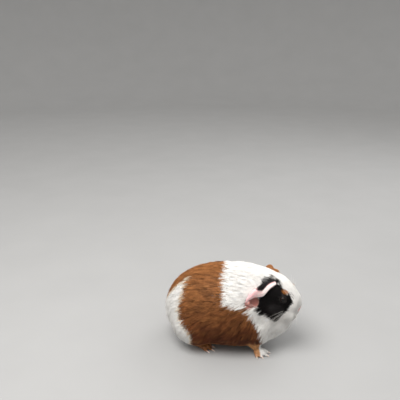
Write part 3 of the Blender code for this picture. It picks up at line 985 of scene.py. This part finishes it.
# The white patch on the right of the rump: its front edge (x) and its inner edge (y) by height.
RUMP_FRONT = [
    (12, -48), (26, -50), (35.6, -54), (42.8, -61), (48.5, -67), (58, -69.5), (68.4, -71),
    (79, -68), (84, -66), (90, -68), (96, -64), (99, -63),
]
RUMP_INNER = [(10, -2), (30, -5), (50, -14), (71, -21.2), (80, -21.4), (91, -19.3), (97, -14.1), (99, -17)]
# The faces' patches, seen from the side in the head's axes (x, z).
RIGHT_PATCH = [
    (-5.9, 12.8), (2.3, 14.6), (11.3, 15.6), (19.9, 13.2), (23.4, 10.4), (33.6, 7.1), (37.3, 5.9),
    (39.7, 2.5), (42.1, -3.5), (40.5, -10.9), (38.5, -21.1), (35.7, -33.1), (31.8, -34.8),
    (24.6, -31.1), (16.6, -27.8), (7, -25), (1.2, -14.5), (1.5, -9.2), (-4, 2),
]
LEFT_PATCH = [
    (39, -2), (36, 2), (29, 5), (17, 9), (8, 13), (-2, 13), (-8, 6), (-9, -6), (-6, -15),
    (4, -18), (16, -18), (28, -16), (36, -10),
]


def markings_and_shade(points):
    """The animal's colours at those points, with uneven edges to its patches, painted shade low on the
    body and a painted highlight on the black patch.
    """
    head = to_head(points)
    x, y, z = points.T
    fray = 1.6 * ripples(points, 9, 11) + 1.1 * ripples(points, 3.5, 12)
    to_left = smoothstep(y, -12, 12)
    tone = 0.5 + 0.5 * ripples(points * np.array((0.35, 1, 1)), 9, 13)
    high = smoothstep(z + 4 * ripples(points, 20, 14), 22, 95)
    collar = read_off(z, RIGHT_COLLAR) * (1 - to_left) + read_off(z, LEFT_COLLAR) * to_left
    before_collar = x - collar + fray
    rump = np.minimum(read_off(z, RUMP_FRONT) - x, read_off(z, RUMP_INNER) - y) + 0.8 * fray
    side_view = head[:, (0, 2)]
    right = np.minimum(depth_inside(side_view, RIGHT_PATCH) + 0.8 * fray, -4 - head[:, 1])
    left = np.minimum(depth_inside(side_view, LEFT_PATCH) + 0.8 * fray, head[:, 1] - 7)
    on_left = smoothstep(left, 0, 1)
    band = near(head + 0.8 * fray[:, None], (20, 20, 1.5), (19, 10, 5))
    wisps = near(head, (-8, -20, 12), (9, 7, 3.5))
    wisps *= smoothstep(ripples(points * np.array((0.3, 1, 1)), 3, 15), 0, 0.4)
    colours = painted(
        # Painted shade: the coat is darker low on the body and lighter up the back, by height.
        SHADED_LOW_BROWN,
        (BROWN, high),
        (ORANGE, 0.4 * np.clip(tone - 0.45, 0, 1)),
        (UMBER, 0.4 * np.clip(0.3 - tone, 0, 1)),
        (ORANGE, 0.55 * near(points, (34, -46, 65), (12, 12, 10))),
        (ORANGE, 0.5 * smoothstep(before_collar, -7, 0) * high),
        (WHITE, smoothstep(before_collar, -0.8, 0.8)),
        (CREAM, smoothstep(rump, -3, 0)),
        (WHITE, smoothstep(rump, -0.5, 2.5)),
        (BLACK, smoothstep(right, -0.6, 0.6)),
        (GREY, 0.75 * wisps),
        # Painted highlight: a faint grey sheen in the middle of the black patch.
        (GREY, 0.03 * near(head, (27, -24, -16), (11, 12, 7))),
        (SPOT, 0.85 * near(head, (28.2, -16.8, 9.0), (5.4, 6, 2.3))),
        (TAN, smoothstep(left, -0.6, 0.6)),
        (UMBER, 0.85 * band * on_left),
        (UMBER, 0.8 * near(head, (30, 18, -1), (8, 7, 5.5)) * on_left),
    )
    return paw_markings(points, colours)


def paw_markings(points, colours):
    """The colours with the feet's own: the right ones orange, one with white toes, the left cream."""
    x, y, z = points.T
    low = fade(z, 15, 21)
    right = low * (y < 0)
    fore = smoothstep(x, 20, 24)
    toes = smoothstep(x - 41.5 + 0.6 * (y + 30), -1.2, 1.2)
    hind = (1 - fore) * fade(z, 10, 15) * smoothstep(x, -55, -45)
    return painted(
        colours,
        (PAW_ORANGE, right * fore * (1 - toes) * smoothstep(x, 24, 30)),
        (WHITE, right * fore * toes),
        (TAN, 0.8 * right * hind),
        (CREAM, 0.6 * low * (y > 0) * fade(z, 9, 14)),
    )


def skin_colours(points):
    """The skin's colours: the coat's where it grows, and those of nose, lids, ears and feet, with painted
    shade in the nostrils, between the lips and deep in the ears' hollows.
    """
    head = to_head(points)
    slit, _ = nostril_at(head)
    below, along = mouth_at(head)
    conch = in_conch(head)
    foot = near(head, (-5, -37, -27), (12, 14, 13))
    layers = [
        (NOSE_PINK, 0.85 * near(head, *NOSE_PAD)),
        # Painted shade: dark in the nostrils' slits and in the crease between the lips.
        (NOSTRIL_AND_LIP_SHADE, smoothstep(slit, 0.35, 0.9)),
        (NOSTRIL_AND_LIP_SHADE, 0.7 * along * hump(below, 0, 0.6)),
        (EAR_FOOT, np.maximum(smoothstep(conch, 0.0, 0.2), smoothstep(foot, 0.0, 0.3))),
        # Painted shade: dark red deep in the hollow that the ear opens into.
        (VEIN_AND_SHADE_RED, 0.55 * smoothstep(conch, 0.3, 0.8) * smoothstep(head[:, 2], -26, -20)),
        (EAR_BROWN, 0.7 * smoothstep(conch, 0.2, 0.6) * (head[:, 1] > 0)),
        (PAW_PINK, 0.5 * fade(points[:, 2], 5, 8)),
    ]
    for side, shade in LID_SHADES.items():
        close = lengths_of(points - EYES[side]) < 2 * EYE_RADIUS
        layers.append((shade, fade(beyond_opening(points, side), 0.5, 1.6) * close))
    return painted(markings_and_shade(points) * 0.93, *layers)


# ---- hair

UV_PATCH = 0.003  # size of a hair's place in the unwrap that it shares with the skin under it
TRIM = 0.45  # share of its length that is left of a hair that would hide an ear
COVER = 7.3  # how many times over the hair covers the skin
MOST_PER_MM2 = 4.8
UNDERSIDE = (-0.6, 20, 0.4)  # facing at least so far down, below that height, so much of the hair
LONG_HAIR = 8.5  # mm; shorter hair is made with fewer faces
LONG_RISE = (-0.05, 0.6, 0.88, 1.0)  # share of the coat's depth at each ring of a hair
SHORT_RISE = (-0.1, 0.75, 1.0)
STRAYS = 0.06  # share of hairs that stand out of the coat
# How unevenly the locks and the hairs in them lie: a spread in radians, or shares of the usual.
LOCK_TURN, HAIR_TURN = 0.12, 0.13
LOCK_LIFT, HAIR_LIFT, STRAY_LIFT = (0.74, 1.06), (0.84, 1.06), (1.15, 1.6)
HAIR_LENGTH, HAIR_WIDTH = (0.75, 1.12), (0.7, 1.25)
LOCK_SPACING = (0.8, 0.13)  # mm between locks, and mm more for each mm of hair
LOCK_TONE, HAIR_TONE = 0.09, 0.08
GATHERING = 0.62  # share of the way that the tips of long hairs lean to their lock's
GATHERED = (3, 12)  # mm of hair over which they begin to
SWING = 0.03  # share of its length that a hair swings aside
SOFTNESS = 0.7  # share of the skin's own facing in the hairs' shading
EAR_CLEARANCE = (3.0, 1.2)  # mm kept free of hair over an ear's upper and lower part
EAR_ROUND = 45  # mm from an ear's middle, beyond which no hair can reach it
EAR_HAIR_LIFT = 0.5  # mm by which the fine hairs of an ear stand off it at most


def hair_width(lengths):
    return 0.165 + 0.0165 * lengths


def bare(places, facing):
    """Where no hair grows: the eyes, the pad of the nose and the soles."""
    none = np.zeros(len(places), bool)
    for side, eye in EYES.items():
        close = lengths_of(places - eye) < 2 * EYE_RADIUS
        none |= close & (beyond_opening(places, side) < 0.6)
    none |= near(to_head(places), *NOSE_PAD) > 0.5
    none |= in_conch(to_head(places)) > 0.55
    none |= (facing[:, 2] < -0.5) & (places[:, 2] < 4)
    return none


def combed(ground, places, facing):
    """The unit way of the hair along the surface."""
    ways = ground.lie(places)[0]
    return unit(ways - facing * (ways * facing).sum(1, keepdims=True))


def turned(ways, facing, angles):
    aside = np.cross(facing, ways)
    return ways * np.cos(angles)[:, None] + aside * np.sin(angles)[:, None]


def laid(ground, places, facing, lengths, angles, lifts, rise):
    """The middle lines of hairs that lie along the skin and rise through the coat, with normals."""
    steps = len(rise) - 1
    lines = []
    ups = []
    for step, height in enumerate(rise):
        if step:
            ways = turned(combed(ground, places, facing), facing, angles)
            places, facing = ground.nearest(places + ways * (lengths / steps)[:, None])
        depth = ground.lie(places)[2]
        lines.append(places + facing * (depth * height * (lifts if step else 1))[:, None])
        ups.append(facing)
    return np.stack(lines, 1), np.stack(ups, 1)


def waved(lines, ups, height, starts):
    """The lines swung from side to side, more towards their tips."""
    ways = unit(np.gradient(lines, axis=1))
    aside = np.cross(ups, ways)
    t = np.linspace(0, 1, lines.shape[1])
    swing = np.sin(starts[:, None] + 4.5 * t) * t * height[:, None]
    return lines + aside * swing[:, :, None]


class Locks:
    """The locks that hair gathers into: where each stands, how it lies and its shade."""

    def __init__(self, ground, grows, rise, rng):
        spacing = LOCK_SPACING[0] + LOCK_SPACING[1] * ground.lie(ground.middles)[1]
        places, facing, _ = ground.scattered(grows / spacing**2, rng)
        count = len(places)
        long = ground.lie(places)[1]
        self.turn = rng.normal(0, LOCK_TURN, count)
        self.lift = rng.uniform(*LOCK_LIFT, count)
        self.wave = rng.uniform(0, math.tau, count)
        self.tone = rng.normal(0, 1, count)
        self.lines, _ = laid(ground, places, facing, long * 1.02, self.turn, self.lift, rise)
        self.tree = kdtree.KDTree(count)
        for row, place in enumerate(places.tolist()):
            self.tree.insert(place, row)
        self.tree.balance()

    def nearest(self, places):
        return np.array([self.tree.find(place)[1] for place in places.tolist()])


def hairs_of(ground, per_mm2, rise, seed):
    """Hairs strewn at that density, gathered into locks: middle lines, normals, widths, hues, unwrap."""
    rng = np.random.default_rng(seed)
    places, facing, uvs = ground.scattered(per_mm2, rng)
    keep = ~bare(places, facing)
    places, facing, uvs = places[keep], facing[keep], uvs[keep]
    lengths = ground.lie(places)[1]
    count = len(places)
    locks = Locks(ground, per_mm2 > 0, rise, rng)
    own = locks.nearest(places)

    turn = locks.turn[own] + rng.normal(0, HAIR_TURN, count)
    lift = locks.lift[own] * rng.uniform(*HAIR_LIFT, count)
    lift = np.where(rng.uniform(size=count) < STRAYS, lift * rng.uniform(*STRAY_LIFT, count), lift)
    lengths = lengths * rng.uniform(*HAIR_LENGTH, count)
    lines, ups = laid(ground, places, facing, lengths, turn, lift, rise)
    t = np.linspace(0, 1, len(rise))
    gather = (GATHERING * smoothstep(lengths, *GATHERED))[:, None] * t**1.6
    lines += (locks.lines[own] - lines) * gather[:, :, None]
    lines = waved(lines, ups, SWING * lengths, locks.wave[own] + rng.normal(0, 0.4, count))
    widths = hair_width(lengths) * rng.uniform(*HAIR_WIDTH, count)
    tones = LOCK_TONE * locks.tone[own] + rng.normal(0, HAIR_TONE, count)
    return lines, ups, widths, tones, uvs


def hair_faces(count, rings):
    """The corners of all faces of that many hairs, and where each face starts in them."""
    last, tip = (rings - 1) * 3, rings * 3
    quads = tube_faces(rings, 3, False)[:-2]
    triangles = [(last, last + 1, tip), (last + 1, last + 2, tip), (last + 2, last, tip), (2, 1, 0)]
    base = (np.arange(count) * (tip + 1))[:, None, None]
    fours = (base + np.array(quads)[None]).reshape(-1)
    threes = (base + np.array(triangles)[None]).reshape(-1)
    starts = np.append(np.arange(0, len(fours), 4), len(fours) + np.arange(0, len(threes), 3))
    return np.append(fours, threes).astype(np.int32), starts.astype(np.int32)


def along_hair(rings):
    """How far along a hair each of its points lies."""
    return np.append(np.repeat(np.arange(rings) / rings, 3), 1.0)


def hair_mesh(name, lines, ups, widths, colours, uvs):
    """Solid, pointed hairs with a three-cornered section, as one mesh."""
    count, rings = lines.shape[0], lines.shape[1] - 1
    aside = unit(np.cross(ups, unit(np.gradient(lines, axis=1))))
    taper = np.array([0.75, 1.0, 0.8] if rings > 2 else [0.85, 0.9])
    half = widths[:, None] * taper / 2
    points = np.empty((count, rings * 3 + 1, 3))
    facing = np.empty_like(points)
    for ring in range(rings):
        out = aside[:, ring]
        up = ups[:, ring]
        for corner, way in enumerate((-out - 0.2 * up, out - 0.2 * up, 0.9 * up)):
            points[:, ring * 3 + corner] = lines[:, ring] + way * half[:, ring, None]
            facing[:, ring * 3 + corner] = unit(unit(way) * (1 - SOFTNESS) + up * SOFTNESS)
    points[:, -1] = lines[:, -1]
    facing[:, -1] = ups[:, -1]
    corners, starts = hair_faces(count, rings)

    mesh = bpy.data.meshes.new(name)
    mesh.vertices.add(count * (rings * 3 + 1))
    mesh.vertices.foreach_set("co", flat(points * MM))
    mesh.loops.add(len(corners))
    mesh.loops.foreach_set("vertex_index", corners)
    mesh.polygons.add(len(starts))
    mesh.polygons.foreach_set("loop_start", starts)
    mesh.update(calc_edges=True)
    mesh.shade_smooth()

    across = np.append(np.tile((-0.5, 0.5, 0.0), rings), 0.0)
    spots = uvs[:, None] + UV_PATCH * np.stack([across, along_hair(rings) - 0.5], 1)[None]
    layer = mesh.uv_layers.new(name="OFBake")
    layer.data.foreach_set("uv", flat(spots.reshape(-1, 2)[corners]))
    set_colours(mesh, colours.reshape(-1, 3))
    mesh.normals_split_custom_set_from_vertices(facing.reshape(-1, 3).astype(np.float32))
    return link(bpy.data.objects.new(name, mesh))


def hair_colours(tint, tones, rings):
    """Each hair in its own colour, darker towards its root as painted shade, most uneven where it is
    brown.
    """
    pale = smoothstep(tint.max(1), 0.45, 0.8)
    tint = tint * (1 + tones * (2.3 - 1.9 * pale))[:, None]
    # Painted shade: how dark a hair is at its root, where the coat shades it; white hair less so.
    root = 0.42 + 0.53 * pale
    fade = root[:, None] + (1 - root[:, None]) * smoothstep(along_hair(rings), 0.0, 0.75)[None]
    return np.clip(tint[:, None] * fade[:, :, None], 0.004, 0.93)


def ride_as(obj, material):
    """The piece in its material, riding on the body."""
    obj.data.materials.clear()
    obj.data.materials.append(material)
    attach(obj, BODY)
    return obj


def over_ears(lines, ears):
    """Which hairs would lie over the outer side of an ear, or across its hollow."""
    over = in_conch(to_head(lines[:, -1])) > 0.4
    for ear in ears:
        sheet = Ground(ear.data, None)
        s, t, out = spots_on(ear)[sheet.corners].mean(1).T
        reach = np.where(s < 0.55, *EAR_CLEARANCE)
        hidden = (out > 0.5) & (0.22 < t) & (t < 0.97)
        close = lengths_of(lines[:, -1] - sheet.points.mean(0)) < EAR_ROUND
        for row in np.flatnonzero(close):
            for point in lines[row, 1:].tolist():
                _, _, face, apart = sheet.tree.find_nearest(point)
                if hidden[face] and apart < reach[face]:
                    over[row] = True
                    break
    return over


def make_coat(ground, material, ears):
    """All the body's hair, as pieces from rump to nose."""
    lengths = ground.lie(ground.middles)[1]
    density = np.minimum(COVER / (hair_width(lengths) * lengths), MOST_PER_MM2)
    down, low, thin = UNDERSIDE
    hidden = (ground.facings[:, 2] < down) & (ground.middles[:, 2] < low)
    density = np.where(hidden, density * thin, density)
    is_long = lengths > LONG_HAIR
    for label, chosen, rise, most, seed in (
        ("long", is_long, LONG_RISE, 12000, 21),
        ("short", ~is_long, SHORT_RISE, 19000, 22),
    ):
        lines, ups, widths, tones, uvs = hairs_of(ground, density * chosen, rise, seed)
        over = over_ears(lines, ears)
        root = lines[over, :1]
        lines[over] = root + (lines[over] - root) * TRIM
        over[over] = over_ears(lines[over], ears)
        shown = lines[:, -1] * 0.6 + lines[:, -2] * 0.4
        colours = hair_colours(markings_and_shade(shown), tones, len(rise) - 1)
        order = np.argsort(lines[:, 0, 0])
        order = order[~over[order]]
        parts = np.array_split(order, math.ceil(len(order) / most))
        for number, part in enumerate(parts, 1):
            rows = (table[part] for table in (lines, ups, widths, colours, uvs))
            ride_as(hair_mesh(f"{label}_coat_{number}", *rows), material)


EAR_HAIRS = {"right": (0.02, 0.018, 0.019), "left": (0.45, 0.19, 0.07)}


def make_ear_hair(side, ear, material):
    """Fine hair on an ear: thick and coloured on its root, sparse and white on its rim."""
    ground = Ground(ear.data, ear_lie(side))
    s, t, out = spots_on(ear)[ground.corners].mean(1).T
    furred = ear_fur(side, s, t) * (out > 0)
    rim = smoothstep(t, 0.7, 0.9) * fade(s, STRIP, STRIP + 0.2)
    density = 4.5 * furred + 1.0 * rim + 0.08
    lines, ups, widths, tones, uvs = hairs_of(ground, density, SHORT_RISE, 23)
    faces = [ground.tree.find_nearest(place)[2] for place in lines[:, 0].tolist()]
    dark = furred[faces] > 0.35
    tint = np.where(dark[:, None], EAR_HAIRS[side], WHITE)
    lifts = np.random.default_rng(24).uniform(0, EAR_HAIR_LIFT, len(lines))
    lines[:, 1:] += ups[:, 1:] * lifts[:, None, None]
    widths = widths * np.where(dark, 1.0, 0.6)
    colours = hair_colours(tint, tones, len(SHORT_RISE) - 1)
    ride_as(hair_mesh(f"{side}_ear_hair", lines, ups, widths, colours, uvs), material)


# ---- materials

# The eye's shades by how far forward they lie: 0 is half way from its middle to its front, at 1.
EYE_RINGS = (
    (0.0, (0.02, 0.012, 0.010)), (0.25, (0.008, 0.004, 0.003)), (0.6, (0.012, 0.006, 0.004)),
    (0.86, (0.009, 0.005, 0.003)), (0.93, (0.002, 0.002, 0.002)),
)


def new_material(name):
    material = bpy.data.materials.new(name)
    material.use_nodes = True
    return material


def plug(material, sockets, values):
    """Gives each named socket its value, or links it to another node's output."""
    for name, value in values.items():
        socket = sockets[name.replace("_", " ")]
        if isinstance(value, bpy.types.NodeSocket):
            material.node_tree.links.new(value, socket)
        else:
            socket.default_value = value


def added(material, kind, output=0, modes=(), **inputs):
    """The output of a new shader node of that kind with those modes and inputs."""
    node = material.node_tree.nodes.new("ShaderNode" + kind)
    for name, mode in modes:
        setattr(node, name, mode)
    plug(material, node.inputs, inputs)
    return node.outputs[output]


def noise(material, scale, detail=3.0, stretch=(1, 1, 1)):
    """A noise in the object's own place; its scale is humps to the metre."""
    place = added(material, "Mapping", Vector=added(material, "TexCoord", "Object"), Scale=stretch)
    return added(material, "TexNoise", "Fac", Vector=place, Scale=scale, Detail=detail)


def wander(material, low, high, *how):
    """A noise whose usual run of 0.3 to 0.7 is mapped to another."""
    value = noise(material, *how)
    return added(material, "MapRange", Value=value, From_Min=0.3, From_Max=0.7, To_Min=low, To_Max=high)


def finish(material, colour, rough, **values):
    """The material with its shader's colour, roughness (a value, or how it wanders) and the rest."""
    shader = material.node_tree.nodes["Principled BSDF"]
    if isinstance(rough, tuple):
        rough = wander(material, *rough)
    plug(material, shader.inputs, {"Base Color": colour, "Roughness": rough, **values})
    return material


def toned(material, colour, *how):
    """The colour made lighter and darker by a wandering noise."""
    tone = wander(material, *how)
    return added(material, "VectorMath", 0, [("operation", "SCALE")], Vector=colour, Scale=tone)


def own_colour(material, *how):
    """The colour that the mesh carries, toned."""
    return toned(material, added(material, "Attribute", "Color", [("attribute_name", "coat")]), *how)


def bump(material, distance, strength, *how):
    """A normal bumped by a noise, of that height in metres."""
    height = noise(material, *how)
    return added(material, "Bump", "Normal", Height=height, Strength=strength, Distance=distance)


def plain_floor():
    material = new_material("pale_floor")
    return finish(material, wander(material, 0.375, 0.39, 9), 0.9)


def coat_material():
    """Hair: each hair's colour, with its painted shade towards the root, uneven along its length, with a
    soft gloss.
    """
    material = new_material("coat_hair")
    colour = own_colour(material, 0.93, 1.07, 420)
    return finish(material, colour, (0.48, 0.62, 160), Specular_IOR_Level=0.13)


def skin_material():
    """The skin under the coat, in the same markings and painted shade, pebbled where it is bare."""
    material = new_material("skin")
    colour = own_colour(material, 0.9, 1.08, 700)
    pebbles = bump(material, 0.00025, 0.6, 1900, 2)
    return finish(material, colour, (0.42, 0.6, 300), Specular_IOR_Level=0.3, Normal=pebbles)


def ear_material():
    """Thin, bare, finely creased skin that light sinks into."""
    material = new_material("ear_skin")
    colour = own_colour(material, 0.92, 1.06, 260)
    creases = bump(material, 0.0002, 0.7, 1300, 4, (1, 0.6, 1))
    depth = {"Subsurface_Weight": 0.3, "Subsurface_Radius": (1, 0.35, 0.25), "Subsurface_Scale": 0.0012}
    return finish(material, colour, (0.42, 0.58, 500), Normal=creases, **depth)


def eye_material():
    """A wet, near black eye; its iris is a dark brown ring round the pupil, along its own Z."""
    material = new_material("eye")
    forward = added(material, "SeparateXYZ", "Z", Vector=added(material, "TexCoord", "Object"))
    limits = {"From_Min": 0.5 * EYE_RADIUS * MM, "From_Max": EYE_RADIUS * MM}
    shades = added(material, "ValToRGB", Fac=added(material, "MapRange", Value=forward, **limits))
    elements = shades.node.color_ramp.elements
    for _ in EYE_RINGS[2:]:
        elements.new(0.5)
    for element, (at, colour) in zip(elements, EYE_RINGS):
        element.position = at
        element.color = (*colour, 1)
    return finish(material, toned(material, shades, 0.7, 1.3, 900), 0.05, IOR=1.34)


def between(material, one, other, *how):
    """A colour that wanders between two."""
    ends = {"A": (*one, 1), "B": (*other, 1)}
    share = wander(material, 0, 1, *how)
    return added(material, "Mix", "Result", [("data_type", "RGBA")], Factor=share, **ends)


def eyelid_material():
    material = new_material("eyelid")
    colour = between(material, (0.008, 0.006, 0.006), (0.022, 0.015, 0.013), 900)
    creases = bump(material, 0.0001, 0.5, 2500, 2)
    return finish(material, colour, (0.4, 0.55, 1530), Specular_IOR_Level=0.25, Normal=creases)


def claw_material():
    """Horn: the mesh's own colour with fine streaks."""
    material = new_material("claw_horn")
    colour = own_colour(material, 0.85, 1.1, 700, 3, (0.3, 1, 1))
    depth = {"Subsurface_Weight": 0.2, "Subsurface_Scale": 0.0008}
    return finish(material, colour, (0.25, 0.4, 600), **depth)


def whisker_material():
    material = new_material("whisker")
    colour = between(material, (0.85, 0.83, 0.80), (0.70, 0.66, 0.60), 300)
    return finish(material, colour, (0.3, 0.45, 510))


# ---- studio

WARM = (1, 0.985, 0.96)
FLOOR_RADIUS = 2.4
COVE_RADIUS = 0.9
WALL_HEIGHT = 1.6


def make_studio():
    """A pale round floor whose edge turns up into a wall, so that it looks the same all round."""
    profile = [(0.0, 0.0), (FLOOR_RADIUS, 0.0)]
    for step in range(1, 13):
        angle = math.radians(90 * step / 12)
        profile.append((FLOOR_RADIUS + COVE_RADIUS * math.sin(angle), COVE_RADIUS * (1 - math.cos(angle))))
    profile.append((FLOOR_RADIUS + COVE_RADIUS, WALL_HEIGHT))
    shape = bmesh.new()
    line = [shape.verts.new((x, 0, z)) for x, z in profile]
    edges = [shape.edges.new(pair) for pair in zip(line, line[1:])]
    turn = {"cent": (0, 0, 0), "axis": (0, 0, 1), "angle": math.tau, "steps": 96}
    bmesh.ops.spin(shape, geom=line + edges, use_merge=True, **turn)
    bmesh.ops.remove_doubles(shape, verts=shape.verts, dist=0.0001)
    bmesh.ops.recalc_face_normals(shape, faces=shape.faces)
    studio = as_object(shape, "studio")
    studio.data.materials.append(plain_floor())


def area_light(name, place, aim, size, power, colour=(1, 1, 1)):
    light = bpy.data.lights.new(name, "AREA")
    light.shape = "DISK"
    light.size = size
    light.energy = power
    light.color = colour
    lamp = link(bpy.data.objects.new(name, light))
    lamp.location = place
    lamp.rotation_mode = "QUATERNION"
    lamp.rotation_quaternion = (Vector(aim) - Vector(place)).to_track_quat("-Z", "Y")


def light_studio():
    area_light("key", (-0.25, -0.55, 1.25), (0, 0, 0.05), 0.9, 18, WARM)
    area_light("rim", (0.5, 0.9, 1.0), (0, 0, 0.05), 0.8, 4)
    world = bpy.data.worlds.new("soft_room")
    world.use_nodes = True
    sky = world.node_tree.nodes["Background"].inputs
    sky["Color"].default_value = (*WARM, 1)
    sky["Strength"].default_value = 0.9
    bpy.context.scene.world = world
    bpy.context.scene.view_settings.view_transform = "Standard"


# ---- camera

LENS = 45
SENSOR = 36
AZIMUTH = math.radians(8.0)
ELEVATION = math.radians(30.4)
CAMERA_DISTANCE = 0.72
AIM = Vector((0.002, 0, 0.05))
AIM_RIGHT = 0.068
AIM_BELOW = 0.216


def make_camera():
    """A level camera that keeps the animal right of and below the middle, by those slopes."""
    level = math.cos(ELEVATION)
    back = Vector((math.sin(AZIMUTH) * level, -math.cos(AZIMUTH) * level, math.sin(ELEVATION)))
    off_axis = math.sqrt(1 + AIM_RIGHT**2 + AIM_BELOW**2)
    tilt = math.asin(math.sin(ELEVATION) * off_axis / math.hypot(1, AIM_BELOW))
    tilt -= math.atan2(AIM_BELOW, 1)
    swing = math.atan2(AIM_RIGHT, math.cos(tilt) - AIM_BELOW * math.sin(tilt))
    heading = Matrix.Rotation(swing, 3, "Z") @ Vector((-back.x, -back.y, 0)).normalized()
    look = heading * math.cos(tilt) + Vector((0, 0, -math.sin(tilt)))
    data = bpy.data.cameras.new("camera")
    data.lens = LENS
    data.sensor_width = SENSOR
    data.clip_start = 0.01
    data.clip_end = 20
    camera = link(bpy.data.objects.new("camera", data))
    camera.location = AIM + back * CAMERA_DISTANCE
    camera.rotation_mode = "QUATERNION"
    camera.rotation_quaternion = look.to_track_quat("-Z", "Y")
    bpy.context.scene.camera = camera


# ---- the whole


def make_skin():
    """The skin in its markings, in the place of every node of flesh."""
    skin = made_skin()
    set_colours(skin.data, skin_colours(points_of(skin.data)))
    ride_as(skin, skin_material())
    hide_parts(*FLESH)
    return skin


def make_eyes():
    for side in SIDES:
        ball = ride_as(eye_ball(side), eye_material())
        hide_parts(f"{side}_eye")
        ride_as(eyelid_rim(side), eyelid_material())


def make_ears(hair):
    bare_skin = ear_material()
    ears = [make_ear(side) for side in SIDES]
    for side, ear in zip(SIDES, ears):
        ride_as(ear, bare_skin)
        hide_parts(f"{side}_ear")
        make_ear_hair(side, ear, hair)
    return ears


def make_claws():
    horn = claw_material()
    for side in SIDES:
        for paw, count in CLAWS.items():
            for number in range(1, count + 1):
                node = f"{side}_{paw}_claw_{number}"
                claw = ride_as(fine_claw(node, f"{side}_{paw}"), horn)
                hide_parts(node)


make_camera()
make_studio()
light_studio()
skin = make_skin()
ground = Ground(skin.data, coat_at)
hair = coat_material()
ears = make_ears(hair)
make_coat(ground, hair, ears)
make_eyes()
make_claws()
ride_as(make_whiskers(ground), whisker_material())
